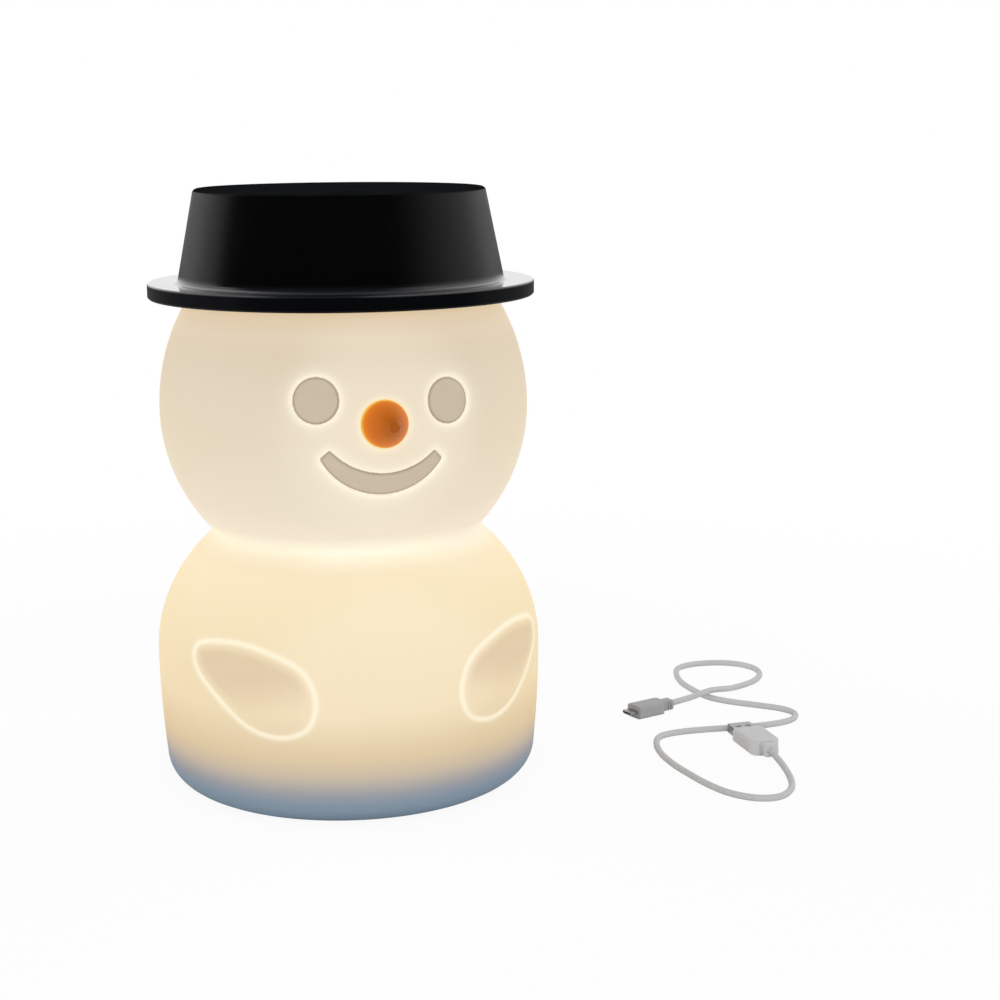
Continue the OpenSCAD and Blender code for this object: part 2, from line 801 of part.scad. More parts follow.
module control_board() {
    color([0.1, 0.42, 0.25])
        difference() {
            translate([-board_w / 2, board_y, board_top - board_t])
                cube([board_w, board_d, board_t]);
            place_board_posts()
                translate([0, 0, board_top - board_t - 1])
                    cylinder(r = small_screw_r + fit, h = 4);
        }
}

// A part with its top at z = 0, under the board
module hung_part(size) {
    translate([0, 0, -size[2]])
        cube(size);
}

module board_parts() {
    under = board_top - board_t;
    charge_chip = [5, 4, 1.5];
    coil = [5.2, 5.2, 2.4];
    touch_chip = [3, 3, 1.2];
    resistor = [2, 1.2, 0.8];
    color([0.12, 0.12, 0.13]) {
        translate([-0.2 * board_w, board_y + 0.36 * board_d, under])
            hung_part(charge_chip);
        translate([-0.02 * board_w, board_y + 0.32 * board_d, under])
            hung_part(coil);
        translate([0.2 * board_w, board_y + 0.36 * board_d, under])
            hung_part(touch_chip);
        for (i = [0:3])
            translate([board_w * (0.16 * i - 0.27), board_y + 0.68 * board_d, under])
                hung_part(resistor);
        translate([-0.16 * board_w, board_y + 0.48 * board_d, board_top])
            cube([4, 3, 1.1]);
    }
}

module board_screws() {
    color([0.7, 0.7, 0.72])
        place_board_posts()
            translate([0, 0, board_top - board_t - small_head_t])
                screw(small_screw_r, small_head_r, small_head_t, board_screw_l);
}

module socket_outline(inset) {
    w = socket_w / 2 - inset;
    h = socket_h / 2 - inset;
    polygon([[-w + 1, -h], [w - 1, -h], [w, -h + 1], [w, h], [-w, h], [-w, -h + 1]]);
}

module usb_socket() {
    mouth_y = block_y + 0.6;
    color([0.75, 0.76, 0.78])
        translate([0, mouth_y, board_top + socket_h / 2]) {
            rotate([90, 0, 0])
                difference() {
                    linear_extrude(socket_d)
                        socket_outline(0);
                    translate([0, 0, -1])
                        linear_extrude(socket_d - 0.4 + 1)
                            socket_outline(0.3);
                }
            translate([-1.9, -socket_d + tiny, 0])
                cube([3.8, socket_d - 1.2, 0.6]);
        }
}

module status_led() {
    color([0.95, 0.3, 0.2])
        translate([status_x - 0.8, block_y - 1.6, board_top])
            cube([1.6, 0.9, 2]);
}

module status_light_pipe() {
    color([0.9, 0.92, 0.95])
        translate([status_x, 0, port_z])
            bar_y(pipe_r, block_y - 0.3, panel_y - 0.1);
}

module power_button() {
    color([0.86, 0.85, 0.83])
        translate([button_x, 0, port_z])
            rotate([-90, 0, 0])
                rotate_extrude()
                    polygon([
                        [0, stem_end], [stem_r, stem_end], [stem_r, button_step - button_flange_t],
                        [button_flange_r, button_step - button_flange_t], [button_flange_r, button_step],
                        [button_r, button_step], [button_r, button_face - 0.5], [button_r - 0.5, button_face],
                        [0, button_face - 0.25]
                    ]);
}

module button_switch() {
    color([0.2, 0.2, 0.22])
        difference() {
            translate([button_x - switch_w / 2, switch_face - switch_d, board_top])
                cube([switch_w, switch_d, switch_h]);
            translate([button_x, 0, port_z])
                bar_y(plunger_r + slide_fit, stem_end - plunger_l - button_travel - 0.2, switch_face + 1);
        }
}

module switch_plunger() {
    color([0.95, 0.95, 0.93])
        translate([button_x, 0, port_z])
            bar_y(plunger_r, stem_end - plunger_l, stem_end);
}

// ---- Battery and wires ----

module battery() {
    color([0.25, 0.45, 0.75])
        translate([-cell_l / 2, -cell_y, cell_z])
            rotate([0, 90, 0])
                rotate_extrude()
                    polygon([
                        [0, 0], [cell_r - 0.4, 0], [cell_r, 0.4],
                        [cell_r, cell_l - 2.6], [cell_r - 0.3, cell_l - 2.2], [cell_r - 0.3, cell_l - 1.6],
                        [cell_r, cell_l - 1.2], [cell_r - 0.5, cell_l - 0.8], [cell_r - 2.4, cell_l - 0.8],
                        [cell_r - 2.8, cell_l], [0, cell_l]
                    ]);
}

module battery_wires() {
    turn_y = cell_r + 5 - cell_y;
    board_x = board_w / 2 + 3 * wire_r;
    color([0.75, 0.12, 0.1])
        for (side = [-1, 1])
            wire([
                [side * cell_l / 2, -cell_y, wire_z],
                [side * wire_x, -cell_y, wire_z],
                [side * wire_x, turn_y, wire_z],
                [side * board_x, turn_y, wire_z],
                [side * board_x, board_y + 0.56 * board_d, wire_z],
                [side * board_w / 2, board_y + 0.56 * board_d, wire_z]
            ]);
}

module led_wires() {
    color([0.15, 0.15, 0.16])
        for (side = [-1, 1])
            wire([
                [side * 1.4, board_y + 0.2 * board_d, board_top],
                [side * 1.4, board_y + 0.2 * board_d, board_top + 5],
                [side * 1.4, led_hole_y, board_top + 5],
                [side * 1.4, led_hole_y, led_board_z]
            ]);
}

// ---- Charging lead ----

// A plug's body along +X from x = 0: straight near the mouth, rounded at the end where the lead comes out
module plug_body(l, w, h, sleeve) {
    r = w * 0.36;
    intersection() {
        union() {
            translate([sleeve[0] + r, -w / 2, 0])
                cube([l - r, w, h]);
            translate([sleeve[0], -w / 2 + r, 0])
                cube([r + 1, w - 2 * r, h]);
            for (side = [-1, 1])
                translate([sleeve[0] + r, side * (w / 2 - r), 0])
                    cylinder(r = r, h = h);
        }
        translate([0, 0, h / 2])
            rotate([0, 0, -90])
                rounded_block(w, h, 2, 0, l + sleeve[0]);
    }
    translate([0, 0, h / 2])
        rotate([0, 0, -90])
            difference() {
                rounded_block(sleeve[1], sleeve[2], 1.8, 0, sleeve[0] + 1);
                for (i = [0:1], side = [-1, 1])
                    translate([side * sleeve[1] / 2 - 0.8, 1.4 + 1.7 * i, -h])
                        cube([1.6, 0.8, 2 * h]);
            }
}

module place_micro() {
    translate([micro_exit[0], micro_exit[1], 0])
        rotate([0, 0, micro_turn])
            children();
}

module micro_plug_body() {
    color([0.72, 0.72, 0.73])
        place_micro()
            plug_body(micro_l, micro_w, micro_h, micro_sleeve);
}

module micro_plug_tip() {
    start = micro_sleeve[0] + micro_l;
    l = micro_tip[0];
    w = micro_tip[1] / 2;
    h = micro_tip[2] / 2;
    color([0.6, 0.6, 0.62])
        place_micro()
            translate([start, 0, micro_h / 2])
                rotate([90, 0, 90])
                    difference() {
                        linear_extrude(l)
                            polygon([[-w + 0.9, -h], [w - 0.9, -h], [w, -h + 0.7], [w, h], [-w, h], [-w, -h + 0.7]]);
                        translate([-w + 0.3, -0.3, 1])
                            cube([2 * w - 0.6, 0.75, l]);
                    }
}

function side_way(p, i) = let (t = unit(p[min(i + 1, len(p) - 1)] - p[max(i - 1, 0)])) unit(cross([0, 0, 1], t));
function up_way(p, i) = let (t = unit(p[min(i + 1, len(p) - 1)] - p[max(i - 1, 0)])) cross(t, side_way(p, i));

module lead_cord() {
    p = [for (q = open_curve(route, cord_steps)) [q[0], q[1], max(q[2], cord_r)]];
    n = len(p);
    turn = 180 / cord_sides;
    rings = [
        for (i = [0:n - 1], k = [0:cord_sides - 1]) let (a = turn + 360 * k / cord_sides)
            p[i] + cord_r / cos(turn) * (cos(a) * side_way(p, i) + sin(a) * up_way(p, i))
    ];
    walls = [
        for (i = [0:n - 2], k = [0:cord_sides - 1]) let (j = (k + 1) % cord_sides)
            [i * cord_sides + k, (i + 1) * cord_sides + k, (i + 1) * cord_sides + j, i * cord_sides + j]
    ];
    color([0.75, 0.75, 0.76])
        polyhedron(
            rings,
            concat(
                walls,
                [[for (k = [0:cord_sides - 1]) k]],
                [[for (k = [cord_sides - 1:-1:0]) (n - 1) * cord_sides + k]]
            ),
            convexity = 10
        );
}

module place_usb() {
    translate([usb_exit[0], usb_exit[1], 0])
        rotate([0, 0, usb_turn])
            children();
}

module usb_plug_body() {
    color([0.77, 0.77, 0.78])
        place_usb()
            plug_body(usb_l, usb_w, usb_h, usb_sleeve);
}

module usb_plug_shell() {
    start = usb_sleeve[0] + usb_l;
    l = usb_shell[0];
    w = usb_shell[1];
    h = usb_shell[2];
    window = 2.5;
    window_x = usb_shell[0] * 0.57;
    color([0.66, 0.66, 0.68])
        place_usb()
            translate([start, 0, usb_h / 2])
                difference() {
                    translate([0, -w / 2, -h / 2])
                        cube([l, w, h]);
                    translate([-1, -w / 2 + usb_shell_t, -h / 2 + usb_shell_t])
                        cube([l + 2, w - 2 * usb_shell_t, h - 2 * usb_shell_t]);
                    for (side = [-1, 1])
                        translate([window_x - window, side * 2.6 - window / 2, -h])
                            cube([window, window, 2 * h]);
                }
}

module usb_plug_tongue() {
    start = usb_sleeve[0] + usb_l;
    w = usb_shell[1] - 2 * usb_shell_t;
    color([0.93, 0.93, 0.92])
        place_usb()
            translate([start, -w / 2 + 0.1, usb_h / 2 - usb_shell[2] / 2 + usb_shell_t + 0.05])
                cube([usb_shell[0] - 0.6, w - 0.2, 1.9]);
}

module usb_plug_contacts() {
    start = usb_sleeve[0] + usb_l;
    strip = [usb_shell[0] - 4, 1, 0.15];
    color([0.85, 0.7, 0.3])
        place_usb()
            for (y = [-3.5, -1, 1, 3.5])
                translate([start + 2, y - 0.5, usb_h / 2 - usb_shell[2] / 2 + usb_shell_t + 1.95])
                    cube(strip);
}

skin();
left_eye();
right_eye();
mouth();
nose();
hat();
base_housing();
base_cover();
base_pad();
cover_screws();
led_board();
leds();
led_screws();
diffuser_dome();
control_board();
board_parts();
board_screws();
usb_socket();
status_led();
status_light_pipe();
power_button();
button_switch();
switch_plunger();
battery();
battery_wires();
led_wires();
micro_plug_body();
micro_plug_tip();
lead_cord();
usb_plug_body();
usb_plug_shell();
usb_plug_tongue();
usb_plug_contacts();
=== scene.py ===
"""Snowman night light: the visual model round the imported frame, laid out as an add-on.

Metres, +Z up. The origin is the centre of the pad that the lamp stands on, and the face looks along -Y.
Each piece has its own operator, and main() runs them in order.
"""

import math

import bmesh
import bpy
import numpy as np
from bpy.props import FloatProperty, FloatVectorProperty, IntProperty, PointerProperty
from mathutils import Matrix, Vector


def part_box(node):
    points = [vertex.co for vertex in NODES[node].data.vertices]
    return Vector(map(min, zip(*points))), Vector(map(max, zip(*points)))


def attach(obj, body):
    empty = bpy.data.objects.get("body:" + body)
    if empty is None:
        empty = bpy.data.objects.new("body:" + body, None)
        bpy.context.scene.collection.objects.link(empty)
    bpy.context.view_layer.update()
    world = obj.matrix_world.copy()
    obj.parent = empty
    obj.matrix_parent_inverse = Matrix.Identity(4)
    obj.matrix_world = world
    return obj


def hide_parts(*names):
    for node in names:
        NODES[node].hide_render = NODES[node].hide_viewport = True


bl_info = {
    "name": "Snowman Night Light",
    "version": (1, 0, 0),
    "blender": (4, 5, 0),
    "location": "View3D > Sidebar > Night Light",
    "description": "Builds a lit snowman night light with its hat and its charging lead",
    "category": "Add Mesh",
}

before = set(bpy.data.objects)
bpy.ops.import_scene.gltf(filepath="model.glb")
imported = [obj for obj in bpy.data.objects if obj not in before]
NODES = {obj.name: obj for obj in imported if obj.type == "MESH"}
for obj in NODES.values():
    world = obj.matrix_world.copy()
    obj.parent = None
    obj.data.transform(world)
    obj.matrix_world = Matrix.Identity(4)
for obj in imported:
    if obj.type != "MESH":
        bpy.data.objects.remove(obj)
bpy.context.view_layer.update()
MM = 0.001
SKIN_LOW, SKIN_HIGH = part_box("skin")

# Where things show, in the photograph's frame: (x, y), or one of the two for an edge. The plugs' points are
# the render's, because the photograph shows the lead from above and the model has it on the floor.
IMAGE_SIZE = (1000, 1000)
IMAGE_POINTS = {
    "brim_left": (147.6, None),
    "brim_right": (534.5, None),
    "hat_top": (None, 181.5),
    "foot_bottom": (None, 819.5),
    "left_eye": (313.2, 400.8),
    "right_eye": (446.7, 400.4),
    "nose_tip": (396.3, 427.6),
    "mouth": (382.7, 472.0),
    "left_mitten": (258.0, 687.0),
    "right_mitten": (500.0, 670.0),
    "small_plug": (649.3, 707.9),
    "large_plug": (755.0, 740.3),
}


# ---- Settings ----


def length(name, description, default):
    return FloatProperty(
        name=name, description=description, default=default, unit="LENGTH", subtype="DISTANCE"
    )


def angle(name, description, degrees):
    return FloatProperty(
        name=name, description=description, default=math.radians(degrees), unit="ROTATION", subtype="ANGLE"
    )


def number(name, description, default, unit="NONE"):
    return FloatProperty(name=name, description=description, default=default, unit=unit)


def colour(name, description, default):
    return FloatVectorProperty(
        name=name, description=description, default=default, size=3, min=0, max=1, subtype="COLOR"
    )


class CameraSettings(bpy.types.PropertyGroup):
    lens: number("Lens", "Focal length", 69.8, "CAMERA")
    sensor: number("Sensor", "Width of the sensor", 36, "CAMERA")
    azimuth: angle("Azimuth", "Where the camera stands round the lamp, from the front", -11.6)
    distance: length("Distance", "Level distance from the lamp's axis", 0.9137)
    height: length("Height", "Height above the floor", 0.3143)
    turn: angle("Turn", "How far it looks past the lamp's axis, to the right", 4.606)
    tilt: angle("Tilt", "How far it looks down", 11.241)
    roll: angle("Roll", "Turn about its own axis", -0.401)


class SkinSettings(bpy.types.PropertyGroup):
    foot_radius: length("Foot Radius", "Radius at the top of the foot's rounding", 0.089)
    foot_round: length("Foot Rounding", "Rounding of the foot", 0.015)
    body_height: length("Body Height", "Height of the body's widest ring", 0.065)
    neck_radius: length("Neck Radius", "Radius of the neck crease", 0.0625)
    neck_height: length("Neck Height", "Height of the neck crease", 0.122)
    head_radius: length("Head Radius", "Widest radius of the head", 0.0865)
    head_height: length("Head Height", "Height of the head's widest ring", 0.1805)
    wall: length("Wall", "Thickness of the skin", 0.004)
    lip_radius: length("Lip Radius", "Inner radius of the underside", 0.0723)
    crease_round: length("Crease Rounding", "Softness of the neck crease", 0.0008)
    fine: length("Fine Spacing", "Spacing of the mesh at the face and the mittens", 0.0007)
    coarse: length("Coarse Spacing", "Spacing of the mesh elsewhere", 0.0024)
    port_height: length("Port Height", "Height of the rear opening's middle", 0.019)
    opening_width: length("Opening Width", "Width of the rear opening", 0.0366)
    opening_height: length("Opening Height", "Height of the rear opening", 0.0132)
    opening_round: length("Opening Rounding", "Rounding of the rear opening's corners", 0.0033)
    # The skin's base colour: a dark blue-grey in place of the silicone's white, with cool room light painted in.
    base_with_cool_light: colour("Unlit Colour", "Colour of the silicone by itself", (0.227, 0.327, 0.41))
    edge_glow: colour("Edge Glow", "Light that leaks out round the recesses and grooves", (0.84, 0.68, 0.42))


class FaceSettings(bpy.types.PropertyGroup):
    recess: length("Recess", "Depth of the eye and mouth recesses", 0.0016)
    sink: length("Sink", "How far the inlays lie below the skin", 0.0006)
    gap: length("Gap", "Gap round each inlay", 0.00015)
    eye_radius: length("Eye Radius", "Radius of an eye", 0.0105)
    eye_turn: angle("Eye Turn", "Angle of each eye from the middle of the face", 20.3)
    eye_height: length("Eye Height", "Height of the eyes", 0.193)
    tilt: angle("Tilt", "Turn of the eyes and the mouth about the nose's middle", 2.4)
    mouth_radius: length("Mouth Radius", "Radius of both long edges of the mouth", 0.032)
    mouth_height: length("Mouth Height", "Height of the mouth's lowest point", 0.151)
    mouth_thickness: length("Mouth Thickness", "Thickness of the mouth at its middle", 0.0104)
    mouth_width: length("Mouth Width", "Width across the outer corners", 0.056)
    mouth_cut: length("Mouth Cut", "How far the inner corners stand in from the outer ones", 0.0044)
    mouth_round: length("Mouth Rounding", "Rounding of the mouth's corners", 0.0012)
    nose_height: length("Nose Height", "Height of the nose", 0.1835)
    nose_radius: length("Nose Radius", "Radius of the nose at its root", 0.0106)
    nose_tip: length("Nose Tip", "Radius of the nose at its tip", 0.0028)
    nose_length: length("Nose Length", "How far the nose stands out of the head", 0.019)
    nose_lift: angle("Nose Lift", "How far the nose points up", 4.0)
    inlay: colour("Inlay Colour", "Colour of the grey inlays", (0.40, 0.36, 0.29))
    nose: colour("Nose Colour", "Colour of the nose", (0.41, 0.10, 0.004))


class MittenSettings(bpy.types.PropertyGroup):
    turn: angle("Turn", "Angle from the middle of the face to the middle of a mitten", 42.5)
    height: length("Height", "Height of the middle of a mitten", 0.063)
    groove: length("Groove", "Depth of the groove round a mitten", 0.0009)
    groove_width: length("Groove Width", "Width of the groove", 0.0024)
    dish: length("Dish", "How far the middle of a mitten is pressed in", 0.0018)


class LeadSettings(bpy.types.PropertyGroup):
    diameter: length("Diameter", "Thickness of the lead", 0.0032)
    steps: IntProperty(name="Steps", description="Curve's points between two of the route", default=6)
    jacket: colour("Jacket Colour", "Colour of the lead and its plugs", (0.57, 0.57, 0.58))


class StageSettings(bpy.types.PropertyGroup):
    floor: colour("Floor Colour", "Colour of the floor", (0.92, 0.92, 0.92))
    card: number("Floor White", "How far the camera sees the floor as plain white", 0.93)
    room: number("Room in Front", "How bright the room behind the camera is in gloss", 0.04)
    world: number("World Light", "Strength of the even light from all round", 0.5)
    side_power: number("Side Light", "Power of each side light", 5, "POWER")
    front_power: number("Front Light", "Power of the light in front", 16, "POWER")


SETTINGS = {
    "snowman_camera": CameraSettings,
    "snowman_skin": SkinSettings,
    "snowman_face": FaceSettings,
    "snowman_mittens": MittenSettings,
    "snowman_lead": LeadSettings,
    "snowman_stage": StageSettings,
}

# A mitten's outline about its middle, in millimetres: x runs from the front to the back of the flank, z up.
MITTEN = [
    (29, 18), (9, 21.5), (-9, 19.3), (-26, 12.3), (-32.7, 0),
    (-29.5, -14), (-17, -19.4), (-1, -16.2), (15, -5.5), (30, 7.5),
]

# The lead's route, in millimetres as part.scad has it, from the small plug to the large one. It lies on the
# floor where no height is given.
LEAD_ROUTE = [
    (182, 40, 3.5), (196, 45, 4.1), (210, 50, 5.4), (226, 57, 3.4), (243, 69, 2.1), (253, 82), (255, 95),
    (249, 106), (238, 112), (225, 113), (214, 108), (208, 96), (205, 80), (206, 64), (209, 50), (217, 39),
    (228, 29), (238, 19), (241, 9), (235, 0), (222, -4), (205, -4), (187, -2), (170, -2), (159, -6),
    (153, -17), (150, -32), (150, -48), (152, -64), (155, -80), (160, -94), (169, -104), (180, -106),
    (189, -99), (195, -87), (199, -70, 2.4), (201, -50, 3.8),
]


# The skin's mesh, in metres: the heights between which its rows are fine, half the crease's band, how far
# from a mitten's middle its groove is looked for, the outline's step, and an edge's width to either side.
FACE_BAND = (0.147, 0.209)
MITTEN_BAND = (0.039, 0.088)
PORT_BAND = (0.008, 0.030)
CREASE_REACH = 0.004
MITTEN_REACH = (0.045, 0.032)
OUTLINE_PACE = 0.0002
EDGE = 0.00035
NOSE_EDGE = (-0.00035, 0.00025)
# The mesh of the inlays and the nose: rows inside an inlay's edge, and the spokes of a round piece.
INLAY_EDGE = np.array([0, 0.00006, 0.0002, 0.0004, 0.0007])
SPOKES = np.linspace(0, 2 * math.pi, 97)[:-1]
BRIM_THICKNESS = 0.007


# ---- Materials ----


class Value:
    """A node's output. Python's operators add the Math nodes of an expression."""

    def __init__(self, nodes, socket):
        self.nodes = nodes
        self.socket = socket

    def math(self, operation, *others):
        return self.nodes.math(operation, self, *others)

    def __add__(self, other):
        return self.math("ADD", other)

    def __sub__(self, other):
        return self.math("SUBTRACT", other)

    def __mul__(self, other):
        return self.math("MULTIPLY", other)

    def __truediv__(self, other):
        return self.math("DIVIDE", other)

    def __pow__(self, other):
        return self.math("POWER", other)

    def __rsub__(self, other):
        return self.nodes.math("SUBTRACT", other, self)

    def __rtruediv__(self, other):
        return self.nodes.math("DIVIDE", other, self)

    __radd__ = __add__
    __rmul__ = __mul__


class Nodes:
    """A node tree under construction."""

    def __init__(self, tree):
        self.tree = tree
        self.tree.nodes.clear()

    def node(self, kind, settings=None, inputs=None, out=0):
        """Adds a node: its settings first, then the values or links of its sockets."""
        node = self.tree.nodes.new(kind)
        for key, value in (settings or {}).items():
            if key == "stops":
                ramp = node.color_ramp
                while len(ramp.elements) < len(value):
                    ramp.elements.new(1.0)
                for element, (position, stop) in zip(ramp.elements, value):
                    element.position = position
                    element.color = (*stop, 1.0)
            else:
                setattr(node, key, value)
        for key, value in (inputs or {}).items():
            self.feed(node.inputs[key], value)
        return None if out is None else Value(self, node.outputs[out])

    def feed(self, socket, value):
        if isinstance(value, Value):
            self.tree.links.new(value.socket, socket)
        elif socket.type == "RGBA":
            socket.default_value = (*value[:3], 1.0)
        else:
            socket.default_value = value

    def math(self, operation, *values):
        return self.node("ShaderNodeMath", {"operation": operation}, dict(enumerate(values)))

    def mix(self, factor, a, b):
        """Colour a where the factor is 0, and b where it is 1."""
        return self.node("ShaderNodeMix", {"data_type": "RGBA"}, {0: factor, 6: a, 7: b}, out=2)

    def mix_shader(self, factor, a, b):
        return self.node("ShaderNodeMixShader", inputs={0: factor, 1: a, 2: b})

    def ramp(self, factor, *stops):
        return self.node("ShaderNodeValToRGB", {"stops": stops}, {0: factor})

    def step(self, value, low, high):
        """0 at low, 1 at high, and smooth between."""
        return self.node(
            "ShaderNodeMapRange", {"interpolation_type": "SMOOTHSTEP"},
            {"Value": value, "From Min": low, "From Max": high},
        )

    def noise(self, scale, detail=2.0, roughness=0.5):
        return self.node(
            "ShaderNodeTexNoise",
            inputs={"Vector": self.place, "Scale": scale, "Detail": detail, "Roughness": roughness},
        )


class Finish(Nodes):
    """A material under construction, with its principled shader."""

    def __init__(self, name, **constants):
        self.material = bpy.data.materials.new(name)
        self.material.use_nodes = True
        super().__init__(self.material.node_tree)
        self.shader = self.tree.nodes.new("ShaderNodeBsdfPrincipled")
        self.surface = self.tree.nodes.new("ShaderNodeOutputMaterial").inputs["Surface"]
        self.feed(self.surface, Value(self, self.shader.outputs[0]))
        self.place = self.node("ShaderNodeTexCoord", out="Object")
        self.set(**constants)

    def set(self, **values):
        """Feeds the shader's sockets, with _ for each space in a socket's name."""
        for name, value in values.items():
            self.feed(self.shader.inputs[name.replace("_", " ")], value)
        return self

    def axis(self, name):
        return self.node("ShaderNodeSeparateXYZ", inputs={0: self.place}, out=name)

    def attribute(self, name):
        return self.node("ShaderNodeAttribute", {"attribute_name": name}, out="Fac")

    def bump(self, height, strength, distance):
        inputs = {"Height": height, "Strength": strength, "Distance": distance}
        return self.set(Normal=self.node("ShaderNodeBump", inputs=inputs))


def scaled(tone, factor):
    return tuple(channel * factor for channel in tone)


# Light that comes through the skin, by height in millimetres. At the brim it is raised: painted light against the
# brim's shadow.
GLOW = [
    # foot
    (0, (0.0, 0.0, 0.0)), (12, (0.03, 0.01, 0.01)), (16, (0.10, 0.03, 0.0)), (26, (0.40, 0.21, 0.01)),
    # body
    (34, (0.53, 0.29, 0.01)), (54, (0.66, 0.42, 0.10)), (100, (0.72, 0.48, 0.14)),
    # crease between the body and the head
    (114, (0.74, 0.50, 0.18)), (123, (0.80, 0.66, 0.41)), (130, (0.69, 0.50, 0.30)),
    # head
    (142, (0.64, 0.45, 0.23)), (174, (0.58, 0.38, 0.14)), (210, (0.53, 0.33, 0.10)),
    # at the brim: raised, painted light against the brim's shadow
    (216, (0.55, 0.35, 0.12)), (228, (0.68, 0.50, 0.29)), (236, (0.62, 0.44, 0.23)),
]


def silicone(settings):
    """Lit silicone: dark grey-blue with painted cool room light, and warm where light comes through from inside."""
    finish = Finish("silicone_skin", Specular_IOR_Level=0.15, Emission_Strength=1.0)
    cloud = finish.noise(14, 3) - 0.5
    height = finish.axis("Z") + cloud * 0.002
    reach = GLOW[-1][0] * MM
    glow = finish.ramp(height / reach, *((rise * MM / reach, tone) for rise, tone in GLOW))
    # Painted light: the middle of the front is lightened, most on the head, less on the body, not on the foot.
    front = finish.step(finish.axis("Y"), -0.069, -0.086)
    body = finish.step(finish.axis("Z"), 0.130, 0.118)
    foot = finish.step(finish.axis("Z"), 0.060, 0.034)
    glow = finish.mix(front * (0.25 - body * 0.11 - foot * 0.14), glow, (0.91, 0.71, 0.47))
    for way, rise, tone in ((1, 0.1245, (0.55, 0.28, 0.22)), (-1, 0.118, (0.63, 0.32, 0.0))):
        flank = finish.step(finish.axis("X") * way, 0.015, 0.05)
        near = finish.step((finish.axis("Z") - rise).math("ABSOLUTE"), 0.009, 0.0)
        glow = finish.mix(flank * near * 0.27, glow, tone)
    glow = finish.mix(finish.attribute("halo"), glow, settings.edge_glow)
    shade = finish.attribute("shade")
    finish.set(Emission_Color=finish.mix(shade * 0.35, glow, (0.29, 0.07, 0.0)))
    # Base colour: dark blue-grey with painted cool room light, a little uneven.
    base_with_cool_light = finish.mix(cloud + 0.5, scaled(settings.base_with_cool_light, 0.96), scaled(settings.base_with_cool_light, 1.04))
    finish.set(Base_Color=finish.mix(shade * 0.25, base_with_cool_light, (0.25, 0.29, 0.22)))
    finish.set(Roughness=finish.noise(180, 2) * 0.08 + 0.5)
    return finish.bump(finish.noise(900, 2), 0.05, 0.0002).material


def inlay_silicone(settings):
    """Grey silicone of the eyes and the mouth, which the light inside shows through faintly, with painted shade at
    its rim.
    """
    finish = Finish("grey_inlay", Specular_IOR_Level=0.25)
    # edge runs from 1 at the rim to 0 inside; it darkens base and glow as painted shade of the recess wall.
    edge = finish.attribute("edge")
    mottle = finish.noise(160, 3)
    tone = finish.mix(mottle, scaled(settings.inlay, 0.94), scaled(settings.inlay, 1.06))
    finish.set(Base_Color=finish.mix(edge, tone, scaled(settings.inlay, 0.55)))
    glow = finish.mix(edge, (0.22, 0.16, 0.105), (0.20, 0.145, 0.09))
    finish.set(Emission_Color=glow, Emission_Strength=1.0)
    finish.set(Roughness=mottle * 0.1 + 0.55)
    return finish.bump(finish.noise(1200, 2), 0.08, 0.0002).material


def nose_silicone(settings):
    """Orange silicone, bright where light leaks in at the root and dark at the solid tip."""
    finish = Finish("orange_silicone", Specular_IOR_Level=0.15, Emission_Strength=1.0)
    reach = finish.attribute("reach") / settings.nose_length
    mottle = finish.noise(240, 3)
    finish.set(Base_Color=finish.mix(mottle, scaled(settings.nose, 0.94), scaled(settings.nose, 1.06)))
    finish.set(Emission_Color=finish.ramp(
        reach, (0.0, (0.50, 0.38, 0.06)), (0.03, (0.46, 0.25, 0.03)), (0.08, (0.41, 0.115, 0.0)),
        (0.26, (0.30, 0.063, 0.0)), (0.5, (0.205, 0.048, 0.001)), (0.81, (0.10, 0.018, 0.0)),
        (0.905, (0.085, 0.012, 0.0)), (0.95, (0.0, 0.0, 0.0)),
    ))
    finish.set(Roughness=mottle * 0.1 + 0.38)
    return finish.bump(finish.noise(900, 2), 0.06, 0.0002).material


def moulded(name, tone, rough=0.5, level=0.35, grain=1100, depth=0.08):
    """Moulded plastic or rubber with a fine grain, a little uneven in tone and gloss."""
    finish = Finish(name, Specular_IOR_Level=level)
    blotch = finish.noise(38, 4)
    finish.set(Base_Color=finish.mix(blotch, scaled(tone, 0.93), scaled(tone, 1.07)))
    finish.set(Roughness=finish.noise(grain / 4, 3) * 0.14 + (rough - 0.07))
    return finish.bump(finish.noise(grain, 2), depth, 0.0003).material


